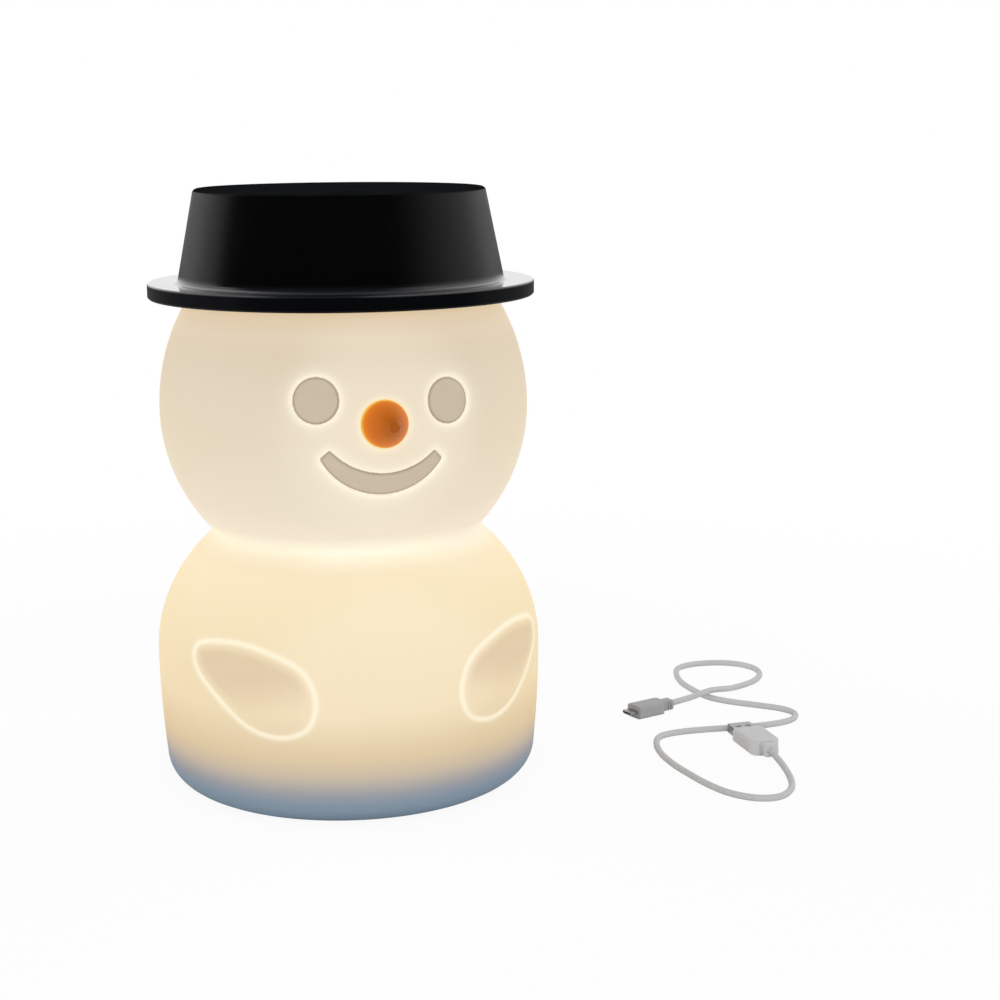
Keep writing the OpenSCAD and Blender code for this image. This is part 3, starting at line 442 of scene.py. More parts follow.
def hat_plastic(low, high):
    """Black moulded plastic: satin crown side, glossier brim, and a matt top, rim and underside."""
    finish = Finish("black_hat", Specular_IOR_Level=0.17, Coat_Roughness=0.12)
    rise = finish.axis("Z")
    brim = low + BRIM_THICKNESS
    wear = finish.noise(46, 5, 0.6)
    side = finish.step(rise, brim + 0.0003, brim + 0.004)
    crown = finish.mix(wear, (0.0005, 0.0006, 0.0008), (0.0012, 0.0014, 0.0017))
    # The brim is a lighter near-black than the crown.
    brim_tone = finish.mix(wear, (0.005, 0.006, 0.008), (0.009, 0.0105, 0.0135))
    finish.set(Base_Color=finish.mix(side, brim_tone, crown))
    finish.set(Roughness=side * 0.1 + finish.noise(420, 3) * 0.1 + wear * 0.1 + 0.05)
    finish.set(Coat_Weight=1.0 - side)
    finish.bump(finish.noise(1500, 2) + finish.noise(520, 2) * 0.6, 0.10, 0.0003)
    top = finish.step(rise, high - 0.0020, high - 0.0009)
    rim = finish.step(rise, brim - 0.0002, brim - 0.0008) * 0.85
    black = finish.mix(wear, (0.0008, 0.0009, 0.0011), (0.0022, 0.0024, 0.0028))
    # The top is painted a lighter grey than the other matt parts: painted sheen.
    grey = finish.mix(wear, (0.003, 0.0033, 0.0038), (0.013, 0.0138, 0.015))
    tone = finish.mix(top, black, grey)
    matt = finish.node("ShaderNodeBsdfDiffuse", inputs={"Color": tone, "Roughness": 0.6})
    facing = finish.node("ShaderNodeLayerWeight", inputs={"Blend": 0.5}, out="Facing")
    grazing = finish.step(facing, 0.5, 0.85) * side * 0.6
    cover = top.math("MAXIMUM", rim).math("MAXIMUM", grazing)
    finish.feed(finish.surface, finish.mix_shader(cover, Value(finish, finish.shader.outputs[0]), matt))
    return finish.material


def metal(name, tone, rough=0.3, brushed=True):
    """Plated metal with fine drawn lines."""
    finish = Finish(name, Metallic=1.0)
    scale = (90, 1600, 1600) if brushed else (700, 700, 700)
    stretch = finish.node("ShaderNodeMapping", inputs={"Vector": finish.place, "Scale": scale})
    lines = finish.node("ShaderNodeTexNoise", inputs={"Vector": stretch, "Scale": 1.0, "Detail": 3.0})
    finish.set(Base_Color=finish.mix(lines, scaled(tone, 0.88), scaled(tone, 1.08)))
    finish.set(Roughness=lines * 0.2 + (rough - 0.1))
    return finish.bump(lines, 0.05, 0.0001).material


def circuit_board(name, tone, trace):
    """Solder mask with lighter tracks under it."""
    finish = Finish(name, Roughness=0.3, Specular_IOR_Level=0.5)
    cells = finish.node(
        "ShaderNodeTexVoronoi", {"feature": "DISTANCE_TO_EDGE"}, {"Vector": finish.place, "Scale": 260.0}
    )
    tracks = finish.step(cells, 0.06, 0.03)
    finish.set(Base_Color=finish.mix(tracks, tone, trace))
    return finish.bump(tracks, 0.15, 0.0001).material


def lit_part(name, tone, glow, rough=0.4):
    """A part that gives off light, a little uneven."""
    finish = Finish(name, Specular_IOR_Level=0.4)
    mottle = finish.noise(420, 3)
    finish.set(Base_Color=finish.mix(mottle, scaled(tone, 0.9), tone), Roughness=mottle * 0.1 + rough)
    finish.set(Emission_Color=finish.mix(mottle, scaled(glow, 0.8), glow), Emission_Strength=1.0)
    return finish.material


def clear_acrylic():
    finish = Finish("clear_pipe", Transmission_Weight=0.8, IOR=1.49)
    haze = finish.noise(700, 2)
    finish.set(Base_Color=finish.mix(haze, (0.86, 0.89, 0.92), (0.93, 0.95, 0.97)))
    finish.set(Roughness=haze * 0.1 + 0.08)
    return finish.material


def coat(names, material):
    """Gives CAD nodes their material."""
    for name in names.split():
        mesh_object = NODES[name]
        if not mesh_object.material_slots:
            mesh_object.data.materials.append(material)
        for slot in mesh_object.material_slots:
            slot.material = material


# ---- Mesh helpers ----


def new_piece(name, points, faces, material, fields, body="lamp"):
    """A smooth mesh piece that rides on a body. fields are numbers per point that its material reads."""
    mesh = bpy.data.meshes.new(name)
    mesh.from_pydata(np.asarray(points).tolist(), [], [tuple(face) for face in faces])
    for key, values in fields.items():
        layer = mesh.attributes.new(key, "FLOAT", "POINT")
        layer.data.foreach_set("value", np.asarray(values, dtype=np.float32))
    mesh.shade_smooth()
    mesh.materials.append(material)
    piece = bpy.data.objects.new(name, mesh)
    bpy.context.scene.collection.objects.link(piece)
    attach(piece, body)
    return piece


def shell_piece(name, points, faces, material, fields):
    """A piece of the face, its faces turned to the front."""
    piece = new_piece(name, points, faces, material, fields)
    edit = bmesh.new()
    edit.from_mesh(piece.data)
    bmesh.ops.recalc_face_normals(edit, faces=edit.faces)
    if sum((face.normal for face in edit.faces), Vector()).y > 0:
        bmesh.ops.reverse_faces(edit, faces=edit.faces)
    edit.to_mesh(piece.data)
    edit.free()
    return piece


def grid_faces(rows, columns, closed):
    """Quads of a grid whose columns close into a ring or stay open."""
    last = columns if closed else columns - 1
    row, column = np.meshgrid(np.arange(rows - 1), np.arange(last), indexing="ij")
    following = (column + 1) % columns
    quads = [
        row * columns + column, row * columns + following,
        (row + 1) * columns + following, (row + 1) * columns + column,
    ]
    return np.stack(quads, -1).reshape(-1, 4)


def fan_faces(rows, columns):
    """Triangles from the last row of a closed grid to one more point."""
    last = (rows - 1) * columns
    return [(last + i, last + (i + 1) % columns, rows * columns) for i in range(columns)]


def smooth_step(value, low, high):
    t = np.clip((value - low) / (high - low), 0, 1)
    return t * t * (3 - 2 * t)


def smooth_curve(points, steps, closed):
    """A Catmull-Rom curve through points."""
    points = np.asarray(points, dtype=float)
    count = len(points)
    line = []
    for i in range(count if closed else count - 1):
        picks = [(i + k) % count if closed else min(max(i + k, 0), count - 1) for k in (-1, 0, 1, 2)]
        p0, p1, p2, p3 = points[picks]
        for t in np.arange(steps) / steps:
            square = (2 * p0 - 5 * p1 + 4 * p2 - p3) * t**2
            cube = (3 * p1 - p0 - 3 * p2 + p3) * t**3
            line.append(0.5 * (2 * p1 + (p2 - p0) * t + square + cube))
    if not closed:
        line.append(points[-1])
    return np.array(line)


def outline_distance(px, pz, outline):
    """Distance of points from a closed outline, negative inside it."""
    ax, az = outline[:, 0], outline[:, 1]
    bx, bz = np.roll(ax, -1), np.roll(az, -1)
    ex, ez = bx - ax, bz - az
    dx, dz = px[:, None] - ax, pz[:, None] - az
    along = np.clip((dx * ex + dz * ez) / (ex * ex + ez * ez), 0, 1)
    nearest = np.sqrt(((dx - along * ex) ** 2 + (dz - along * ez) ** 2).min(1))
    crosses = (az > pz[:, None]) != (bz > pz[:, None])
    ahead = px[:, None] < ax + (pz[:, None] - az) * ex / np.where(ez == 0, 1, ez)
    inside = (crosses & ahead).sum(1) % 2 == 1
    return np.where(inside, -nearest, nearest)


def spaced(end, spacing):
    """Places from 0 to end whose spacing follows a function of the place."""
    places = np.linspace(0, end, 4000)
    count = np.concatenate([[0], np.cumsum(np.diff(places) / spacing(0.5 * (places[1:] + places[:-1])))])
    return np.interp(np.linspace(0, count[-1], int(math.ceil(count[-1])) + 1), count, places)


# ---- The skin's form ----


class SkinForm:
    """The outer surface of the skin: a revolved outline, and the recesses and grooves pressed into it."""

    def __init__(self, skin, face, mitten):
        self.skin, self.face, self.mitten = skin, face, mitten
        self.body_radius = SKIN_HIGH.x
        self.low, self.top = SKIN_LOW.z, SKIN_HIGH.z
        self.foot_top = self.low + skin.foot_round
        self.body_half = self.half(self.body_radius, skin.neck_height - skin.body_height)
        self.head_low = self.half(skin.head_radius, skin.head_height - skin.neck_height)
        self.head_high = self.top - skin.head_height
        self.outline = self.make_outline()
        steps = np.hypot(*np.diff(self.outline, axis=0).T)
        self.run = np.concatenate([[0], np.cumsum(steps)])
        self.mitten_line = smooth_curve(np.array(MITTEN) * MM, 6, closed=True)

    def half(self, radius, rise):
        """Half height of the ellipse of that radius that passes the neck crease."""
        return rise / math.sqrt(1 - (self.skin.neck_radius / radius) ** 2)

    def make_outline(self):
        """(radius, height) from the underside to the top of the head, evenly spaced, the crease softened."""
        skin = self.skin
        foot = np.radians(np.linspace(-90, 0, 60))
        round_middle = skin.foot_radius - skin.foot_round
        body_angle = math.acos(skin.neck_radius / self.body_radius)
        head_angle = math.acos(skin.neck_radius / skin.head_radius)
        heights = np.linspace(self.foot_top, skin.body_height, 60)[1:]
        flank = self.body_radius - (self.body_radius - skin.foot_radius) * (
            (skin.body_height - heights) / (skin.body_height - self.foot_top)
        ) ** 2
        shoulder = np.linspace(0, body_angle, 90)[1:]
        lower = np.linspace(-head_angle, 0, 90)[1:]
        upper = np.linspace(0, math.pi / 2, 160)[1:]
        radii = np.concatenate([
            [skin.lip_radius, skin.lip_radius], round_middle + skin.foot_round * np.cos(foot), flank,
            self.body_radius * np.cos(shoulder), skin.head_radius * np.cos(lower),
            skin.head_radius * np.cos(upper),
        ])
        rise = np.concatenate([
            [self.low + 0.0018, self.low], self.foot_top + skin.foot_round * np.sin(foot), heights,
            skin.body_height + self.body_half * np.sin(shoulder),
            skin.head_height + self.head_low * np.sin(lower),
            skin.head_height + self.head_high * np.sin(upper),
        ])
        run = np.concatenate([[0], np.cumsum(np.hypot(np.diff(radii), np.diff(rise)))])
        even = np.arange(0, run[-1], OUTLINE_PACE)
        line = np.stack([np.interp(even, run, radii), np.interp(even, run, rise)], 1)
        reach = int(4 * skin.crease_round / OUTLINE_PACE)
        weights = np.exp(-0.5 * (np.arange(-reach, reach + 1) * OUTLINE_PACE / skin.crease_round) ** 2)
        weights /= weights.sum()
        padded = np.pad(line, ((reach, reach), (0, 0)), mode="edge")
        soft = np.stack([np.convolve(padded[:, k], weights, "valid") for k in (0, 1)], 1)
        near = np.abs(line[:, 1] - skin.neck_height)[:, None] < 4 * skin.crease_round
        line = np.where(near, soft, line)
        return np.vstack([line, [0.0, self.top]])

    def at(self, run):
        """Radius, height, and the outward direction's two parts at places along the outline."""
        radius = np.interp(run, self.run, self.outline[:, 0])
        height = np.interp(run, self.run, self.outline[:, 1])
        ahead = np.minimum(run + 0.0006, self.run[-1])
        behind = np.maximum(run - 0.0006, 0)
        dr = np.interp(ahead, self.run, self.outline[:, 0]) - np.interp(behind, self.run, self.outline[:, 0])
        dz = np.interp(ahead, self.run, self.outline[:, 1]) - np.interp(behind, self.run, self.outline[:, 1])
        size = np.hypot(dr, dz)
        return radius, height, dz / size, -dr / size

    def run_at(self, height):
        """Place along the outline at a height above the foot."""
        rising = self.outline[:, 1]
        start = np.searchsorted(self.run, 0.004)
        return np.interp(height, rising[start:], self.run[start:])

    def base(self, turn, run):
        """Point and outward direction on the plain revolved surface. turn is measured from the face to +X."""
        radius, height, out, up = self.at(run)
        sin, cos = np.sin(turn), np.cos(turn)
        point = np.stack([radius * sin, -radius * cos, height], -1)
        normal = np.stack([out * sin, -out * cos, up], -1)
        return point, normal

    def tilted(self, point, way=1):
        """Points turned with the eyes and the mouth about the nose's middle, or back with way -1."""
        turn = way * self.face.tilt
        x, z = point[..., 0], point[..., 2] - self.face.nose_height
        return np.stack([
            x * math.cos(turn) + z * math.sin(turn), point[..., 1],
            z * math.cos(turn) - x * math.sin(turn) + self.face.nose_height,
        ], -1)

    def eye_axis(self, side):
        """The middle of an eye on the plain surface, and the direction it looks."""
        run = np.array([self.run_at(self.face.eye_height)])
        point, normal = self.base(np.array([side * self.face.eye_turn]), run)
        middle = self.tilted(point[0])
        return middle, self.tilted(point[0] + normal[0]) - middle

    def nose_axis(self):
        """The middle of the nose's root on the plain surface, and the direction it points."""
        root = np.array([0.0, -self.at(self.run_at(self.face.nose_height))[0], self.face.nose_height])
        return root, np.array([0.0, -math.cos(self.face.nose_lift), math.sin(self.face.nose_lift)])

    def eye_distance(self, point, side):
        middle, axis = self.eye_axis(side)
        offset = point - middle
        along = offset @ axis
        ring = np.sqrt(np.maximum((offset**2).sum(-1) - along**2, 0)) - self.face.eye_radius
        return np.where(along > -0.05, ring, 1.0)

    def mouth_distance(self, point):
        face = self.face
        flat = self.tilted(point, -1)
        x, z = np.abs(flat[..., 0]), flat[..., 2]
        low = face.mouth_height + face.mouth_radius
        high = low + face.mouth_thickness
        outer_x = face.mouth_width / 2
        inner_x = outer_x - face.mouth_cut
        corner = np.array([outer_x, low - math.sqrt(face.mouth_radius**2 - outer_x**2)])
        inner = np.array([inner_x, high - math.sqrt(face.mouth_radius**2 - inner_x**2)])
        edge = (inner - corner) / np.linalg.norm(inner - corner)
        ends = (x - corner[0]) * edge[1] - (z - corner[1]) * edge[0]
        below = np.hypot(x, z - low) - face.mouth_radius
        above = face.mouth_radius - np.hypot(x, z - high)
        sides = np.maximum(below, above)
        both = np.maximum(sides, ends)
        round_off = face.mouth_round
        soft = np.hypot(np.maximum(sides + round_off, 0), np.maximum(ends + round_off, 0)) - round_off
        return np.where(point[..., 1] < 0, np.where(np.minimum(sides, ends) > -round_off, soft, both), 1.0)

    def nose_distance(self, point):
        root, axis = self.nose_axis()
        offset = point - root
        away = np.sqrt(np.maximum((offset**2).sum(-1) - (offset @ axis) ** 2, 0))
        ring = away - self.face.nose_radius - 0.0003
        return np.where(point[..., 1] < 0, ring, 1.0)

    def opening_distance(self, point):
        """Distance from the rear opening's outline."""
        skin = self.skin
        dx = np.abs(point[..., 0]) - skin.opening_width / 2 + skin.opening_round
        dz = np.abs(point[..., 2] - skin.port_height) - skin.opening_height / 2 + skin.opening_round
        outside = np.hypot(np.maximum(dx, 0), np.maximum(dz, 0))
        box = outside + np.minimum(np.maximum(dx, dz), 0) - skin.opening_round
        return np.where(point[..., 1] > 0, box, 1.0)

    def mitten_distance(self, point, side):
        """Distance from a mitten's outline, and the point's height above the mitten's middle."""
        mitten = self.mitten
        turn = side * mitten.turn
        across = (point[..., 0] * math.cos(turn) + point[..., 1] * math.sin(turn)) * side
        facing = point[..., 0] * math.sin(turn) - point[..., 1] * math.cos(turn)
        rise = point[..., 2] - mitten.height
        distance = np.full(across.shape, 1.0)
        near = (facing > 0) & (np.abs(across) < MITTEN_REACH[0]) & (np.abs(rise) < MITTEN_REACH[1])
        distance[near] = outline_distance(across[near], rise[near], self.mitten_line)
        return distance, rise, across

    def press(self, point):
        """Depth pressed into the skin at points on the plain surface, and its material's fields."""
        face, mitten = self.face, self.mitten
        depth = np.zeros(point.shape[:-1])
        halo = np.zeros_like(depth)
        shade = np.zeros_like(depth)
        holes = [self.eye_distance(point, -1), self.eye_distance(point, 1), self.mouth_distance(point)]
        for distance in holes:
            depth = np.maximum(depth, face.recess * (1 - smooth_step(distance, -EDGE, EDGE)))
            leak = np.exp(-np.maximum(distance, 0) / 0.0016) * smooth_step(distance, -0.0004, 0.0001)
            halo = np.maximum(halo, leak)
        nose = self.nose_distance(point)
        depth = np.maximum(depth, 0.0020 * (1 - smooth_step(nose, *NOSE_EDGE)))
        halo = np.maximum(halo, 0.8 * np.exp(-np.maximum(nose, 0) / 0.0015))
        for side in (-1, 1):
            distance, rise, across = self.mitten_distance(point, side)
            line = np.exp(-((distance / (0.42 * mitten.groove_width)) ** 2))
            inside = smooth_step(-distance, 0.0, 0.0105)
            upper = smooth_step(rise + 0.15 * across, -0.013, 0.007)
            depth = np.maximum(depth, mitten.groove * line + mitten.dish * inside * (0.35 + 0.65 * upper))
            halo = np.maximum(halo, 0.72 * np.exp(-((distance / (0.55 * mitten.groove_width)) ** 2)))
            shade = np.maximum(shade, smooth_step(-distance, 0.0003, 0.0065) * (0.12 + 0.88 * upper))
        return depth, halo, shade

    def gather(self, turn, run, distance_of, rings, reach):
        """Moves mesh points near an outline onto rings at set distances from it, for a crisp edge."""
        nudge = 0.00002
        point, _ = self.base(turn, run)
        radius = np.maximum(np.hypot(point[..., 0], point[..., 1]), 0.001)
        here = distance_of(point)
        near = np.abs(here) < reach
        sub_turn, sub_run, sub_radius = turn[near], run[near], radius[near]
        across = (distance_of(self.base(sub_turn + nudge / sub_radius, sub_run)[0]) - here[near]) / nudge
        along = (distance_of(self.base(sub_turn, sub_run + nudge)[0]) - here[near]) / nudge
        slope = np.maximum(across**2 + along**2, 0.25)
        target = np.array(rings)[np.abs(here[near][:, None] - np.array(rings)).argmin(1)]
        move = (target - here[near]) / slope
        turn, run = turn.copy(), run.copy()
        turn[near] += move * across / sub_radius
        run[near] += move * along
        return turn, run

    def surface(self, turn, run):
        """Finished points, with the fields for the material."""
        point, normal = self.base(turn, run)
        depth, halo, shade = self.press(point)
        return point - normal * depth[..., None], halo, shade

    def lay(self, x, z, inset):
        """Points on the head's front at x and z, sunk by inset along the surface's own direction."""
        radius, _, out, up = self.at(self.run_at(z))
        y = -np.sqrt(np.maximum(radius**2 - x**2, 0))
        normal = np.stack([out * x / radius, out * y / radius, up], -1)
        return np.stack([x, y, z], -1) - normal * inset[..., None]


# ---- Camera and image points ----


def image_place(point):
    """Where a point of the scene shows in the image."""
    camera = bpy.context.scene.camera
    width, height = IMAGE_SIZE
    long_side = max(width, height)
    data = camera.data
    local = camera.matrix_world.inverted() @ Vector(point)
    scale = long_side * data.lens / data.sensor_width / -local.z
    return (
        local.x * scale + width / 2 - data.shift_x * long_side,
        height / 2 - local.y * scale + data.shift_y * long_side,
    )


def finished_points(piece):
    evaluated = piece.evaluated_get(bpy.context.evaluated_depsgraph_get())
    mesh = evaluated.to_mesh()
    points = np.empty(len(mesh.vertices) * 3)
    mesh.vertices.foreach_get("co", points)
    evaluated.to_mesh_clear()
    world = np.array(piece.matrix_world)
    return points.reshape(-1, 3) @ world[:3, :3].T + world[:3, 3]


def image_spread(points):
    """Lowest and highest image x and y of points."""
    places = np.array([image_place(point) for point in points])
    return places.min(0), places.max(0)


# ---- Operators ----


class SNOWMAN_OT_camera(bpy.types.Operator):
    """Places the camera where the photograph was taken from"""

    bl_idname = "snowman.camera"
    bl_label = "Camera"

    def execute(self, context):
        settings = context.scene.snowman_camera
        data = bpy.data.cameras.new("camera")
        data.sensor_fit = "AUTO"
        data.sensor_width = settings.sensor
        data.lens = settings.lens
        camera = bpy.data.objects.new("camera", data)
        context.scene.collection.objects.link(camera)
        heading = settings.turn - settings.azimuth
        forward = Vector((
            math.sin(heading) * math.cos(settings.tilt),
            math.cos(heading) * math.cos(settings.tilt),
            -math.sin(settings.tilt),
        ))
        right = Vector((math.cos(heading), -math.sin(heading), 0))
        up = right.cross(forward)
        axes = Matrix((right, up, -forward)).transposed() @ Matrix.Rotation(settings.roll, 3, "Z")
        place = Vector((
            settings.distance * math.sin(settings.azimuth),
            -settings.distance * math.cos(settings.azimuth),
            settings.height,
        ))
        camera.matrix_world = Matrix.Translation(place) @ axes.to_4x4()
        context.scene.camera = camera
        context.view_layer.update()
        return {"FINISHED"}


class SNOWMAN_OT_lead(bpy.types.Operator):
    """Lays the charging lead on the floor between its two plugs"""

    bl_idname = "snowman.lead"
    bl_label = "Charging Lead"

    def execute(self, context):
        settings = context.scene.snowman_lead
        radius = settings.diameter / 2
        route = [(*point, radius / MM)[:3] for point in LEAD_ROUTE]
        line = smooth_curve(route, settings.steps, closed=False) * MM
        line[:, 2] = np.maximum(line[:, 2], radius)
        curve = bpy.data.curves.new("charging_lead", "CURVE")
        curve.dimensions = "3D"
        curve.bevel_depth = radius
        curve.bevel_resolution = 6
        spline = curve.splines.new("POLY")
        spline.points.add(len(line) - 1)
        for point, place in zip(spline.points, line):
            point.co = (*place, 1.0)
        spline.use_smooth = True
        lead = bpy.data.objects.new("charging_lead", curve)
        context.scene.collection.objects.link(lead)
        jacket = moulded("lead_jacket", settings.jacket, rough=0.5, level=0.3, grain=700)
        curve.materials.append(jacket)
        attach(lead, "lamp")
        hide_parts("lead_cord")
        return {"FINISHED"}


class SNOWMAN_OT_plugs(bpy.types.Operator):
    """Finishes the small and the large plug"""

    bl_idname = "snowman.plugs"
    bl_label = "Plugs"

    def execute(self, context):
        jacket = context.scene.snowman_lead.jacket
        coat("micro_plug_body", moulded("small_plug_grey", scaled(jacket, 0.66), rough=0.5))
        coat("usb_plug_body", moulded("large_plug_grey", scaled(jacket, 1.1), rough=0.5))
        coat("micro_plug_tip usb_plug_shell", metal("plug_steel", (0.36, 0.36, 0.37), 0.28))
        coat("usb_plug_tongue", moulded("tongue_white", (0.72, 0.72, 0.70)))
        coat("usb_plug_contacts", metal("contact_brass", (0.80, 0.60, 0.25), 0.25, brushed=False))
        return {"FINISHED"}


class SNOWMAN_OT_skin(bpy.types.Operator):
    """Builds the lit silicone skin with its recesses, mitten grooves and rear opening"""

    bl_idname = "snowman.skin"
    bl_label = "Skin"

    def execute(self, context):
        scene = context.scene
        skin = scene.snowman_skin
        form = SkinForm(skin, scene.snowman_face, scene.snowman_mittens)
        runs = spaced(form.run[-1], self.row_spacing(form, skin))
        turns = spaced(2 * math.pi, self.column_spacing(form, skin))[:-1] - math.pi
        run, turn = np.meshgrid(runs[:-1], turns, indexing="ij")
        edge_rings = (-EDGE, 0.0, EDGE)
        for side in (-1, 1):
            turn, run = form.gather(
                turn, run, lambda point, side=side: form.eye_distance(point, side), edge_rings, 0.0006
            )
        turn, run = form.gather(turn, run, form.mouth_distance, edge_rings, 0.0006)
        turn, run = form.gather(turn, run, form.nose_distance, NOSE_EDGE, 0.0006)
        turn, run = form.gather(turn, run, form.opening_distance, (0.0,), 0.0007)
        points, halo, shade = form.surface(turn, run)
        rows, columns = turn.shape
        faces = grid_faces(rows, columns, closed=True)
        top = np.array([[0.0, 0.0, form.top]])
        flat = points.reshape(-1, 3)
        plain = form.base(turn, run)[0].reshape(-1, 3)
        middle = plain[faces].mean(1)
        faces = faces[form.opening_distance(middle) > 0.00002]
        fields = {"halo": np.append(halo.reshape(-1), 0), "shade": np.append(shade.reshape(-1), 0)}
        piece = new_piece("lit_skin", np.vstack([flat, top]), faces.tolist(), silicone(skin), fields)
        self.finish_edges(piece.data, fan_faces(rows, columns), skin)
        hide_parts("skin")
        return {"FINISHED"}

    def row_spacing(self, form, skin):
        """Fine rows over the face, the mittens, the crease and the rear opening."""
        crease = form.run_at(skin.neck_height)
        zones = [
            (*form.run_at(FACE_BAND), skin.fine),
            (*form.run_at(MITTEN_BAND), skin.fine),
            (crease - CREASE_REACH, crease + CREASE_REACH, 0.0005),
            (*form.run_at(PORT_BAND), 1.3 * skin.fine),
        ]

        def spacing(place):
            result = np.full_like(place, skin.coarse)
            for low, high, fine in zones:
                away = np.maximum(np.maximum(low - place, place - high), 0)
                result = np.minimum(result, fine + 0.35 * away)
            return result

        return spacing

    def column_spacing(self, form, skin):
        """Fine columns in front, and medium ones at the rear opening. Places start at the back."""
        widest = form.body_radius

        def spacing(place):
            turn = np.abs(place - math.pi)
            front = skin.fine + 0.35 * np.maximum(turn - math.radians(70), 0) * widest
            rear = 1.3 * skin.fine + 0.35 * np.maximum(math.pi - turn - math.radians(14), 0) * widest
            return np.minimum(skin.coarse, np.minimum(front, rear)) / widest

        return spacing

    def finish_edges(self, mesh, fan, skin):
        """Closes the top, and turns the rim of the rear opening inwards."""
        edit = bmesh.new()
        edit.from_mesh(mesh)
        edit.verts.ensure_lookup_table()
        for corners in fan:
            edit.faces.new([edit.verts[i] for i in corners]).smooth = True
        loose = [vertex for vertex in edit.verts if not vertex.link_faces]
        bmesh.ops.delete(edit, geom=loose, context="VERTS")
        rim = [
            edge for edge in edit.edges
            if edge.is_boundary and edge.verts[0].co.y > 0 and edge.verts[0].co.z > self.rim_floor(skin)
        ]
        inner = bmesh.ops.extrude_edge_only(edit, edges=rim)["geom"]
        for vertex in inner:
            if isinstance(vertex, bmesh.types.BMVert):
                away = Vector((vertex.co.x, vertex.co.y, 0)).normalized()
                vertex.co -= away * (skin.wall - 0.0003)
        for edge in rim:
            edge.smooth = False
        bmesh.ops.recalc_face_normals(edit, faces=edit.faces)
        edit.to_mesh(mesh)
        edit.free()

    def rim_floor(self, skin):
        return skin.port_height - skin.opening_height


class SNOWMAN_OT_face(bpy.types.Operator):
    """Builds the grey inlays of the eyes and the mouth"""

    bl_idname = "snowman.face"
    bl_label = "Eyes and Mouth"

    def execute(self, context):
        scene = context.scene
        face = scene.snowman_face
        form = SkinForm(scene.snowman_skin, face, scene.snowman_mittens)
        material = inlay_silicone(face)
        for side, name in ((-1, "left_eye"), (1, "right_eye")):
            piece = self.eye(form, face, side, name + "_inlay", material)
            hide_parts(name)
        piece = self.mouth(form, face, material)
        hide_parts("mouth")
        return {"FINISHED"}

    def inset(self, face, inside):
        """How deep an inlay lies, by the distance inside its edge: a little crowned, with a rounded edge."""
        drop = face.recess - 0.00005 - face.sink
        rounding = 1 - np.sqrt(1 - (1 - np.clip(inside / 0.0006, 0, 1)) ** 2)
        return face.sink + drop * rounding - 0.00012 * smooth_step(inside, 0, 0.006)

    def eye(self, form, face, side, name, material):
        middle, axis = form.eye_axis(side)
        level = np.cross([0, 0, 1], axis)
        level /= np.linalg.norm(level)
        rise = np.cross(axis, level)
        outer = face.eye_radius - face.gap
        rings = np.concatenate([outer - INLAY_EDGE, np.linspace(outer - 0.0014, 0.0004, 12)])
        ring, spoke = np.meshgrid(rings, SPOKES, indexing="ij")
        point = middle + (ring * np.cos(spoke))[..., None] * level + (ring * np.sin(spoke))[..., None] * rise
        for _ in range(8):
            radius = form.at(form.run_at(point[..., 2]))[0]
            point = point + (radius - np.hypot(point[..., 0], point[..., 1]))[..., None] * axis
        point = form.lay(point[..., 0], point[..., 2], self.inset(face, outer - ring))
        rows, columns = ring.shape
        centre = point[-1].mean(0)
        faces = grid_faces(rows, columns, closed=True).tolist() + fan_faces(rows, columns)
        # edge: nearness to the rim, for the material's painted shade there.
        edge = 1 - smooth_step(outer - ring, 0.0003, 0.0015)
        points = np.vstack([point.reshape(-1, 3), centre])
        return shell_piece(name, points, faces, material, {"edge": np.append(edge.reshape(-1), 0)})

    def mouth(self, form, face, material):
        gap = face.gap
        low = face.mouth_height + face.mouth_radius
        outer_turn = math.asin((face.mouth_width / 2 - gap) / face.mouth_radius)
        inner_turn = math.asin((face.mouth_width / 2 - face.mouth_cut - gap) / face.mouth_radius)
        half = np.concatenate([INLAY_EDGE / face.mouth_thickness, np.linspace(0.14, 0.5, 5)])
        across = np.concatenate([half, 1 - half[-2::-1]])
        ends = INLAY_EDGE / face.mouth_width
        along = np.concatenate([ends, np.linspace(0.028, 0.972, 90), 1 - ends[::-1]]) * 2 - 1
        v, u = np.meshgrid(across, along, indexing="ij")
        outer = np.stack([
            (face.mouth_radius - gap) * np.sin(u * outer_turn),
            low - (face.mouth_radius - gap) * np.cos(u * outer_turn),
        ], -1)
        inner = np.stack([
            (face.mouth_radius + gap) * np.sin(u * inner_turn),
            low + face.mouth_thickness - (face.mouth_radius + gap) * np.cos(u * inner_turn),
        ], -1)
        place = outer + (inner - outer) * v[..., None]
        place = form.tilted(np.stack([place[..., 0], np.full_like(v, -1.0), place[..., 1]], -1))
        nudge = 0.00001
        for _ in range(4):
            here = form.mouth_distance(place)
            slope = [(form.mouth_distance(place + np.eye(3)[axis] * nudge) - here) / nudge for axis in (0, 2)]
            move = np.maximum(here + gap, 0) / np.maximum(slope[0] ** 2 + slope[1] ** 2, 0.5)
            place[..., 0] -= move * slope[0]
            place[..., 2] -= move * slope[1]
        inside = -form.mouth_distance(place) - gap
        point = form.lay(place[..., 0], place[..., 2], self.inset(face, inside))
        faces = grid_faces(*v.shape, closed=False).tolist()
        # edge: nearness to the rim, for the material's painted shade there.
        edge = 1 - smooth_step(inside, 0.0002, 0.0014)
        return shell_piece("mouth_inlay", point.reshape(-1, 3), faces, material, {"edge": edge.reshape(-1)})


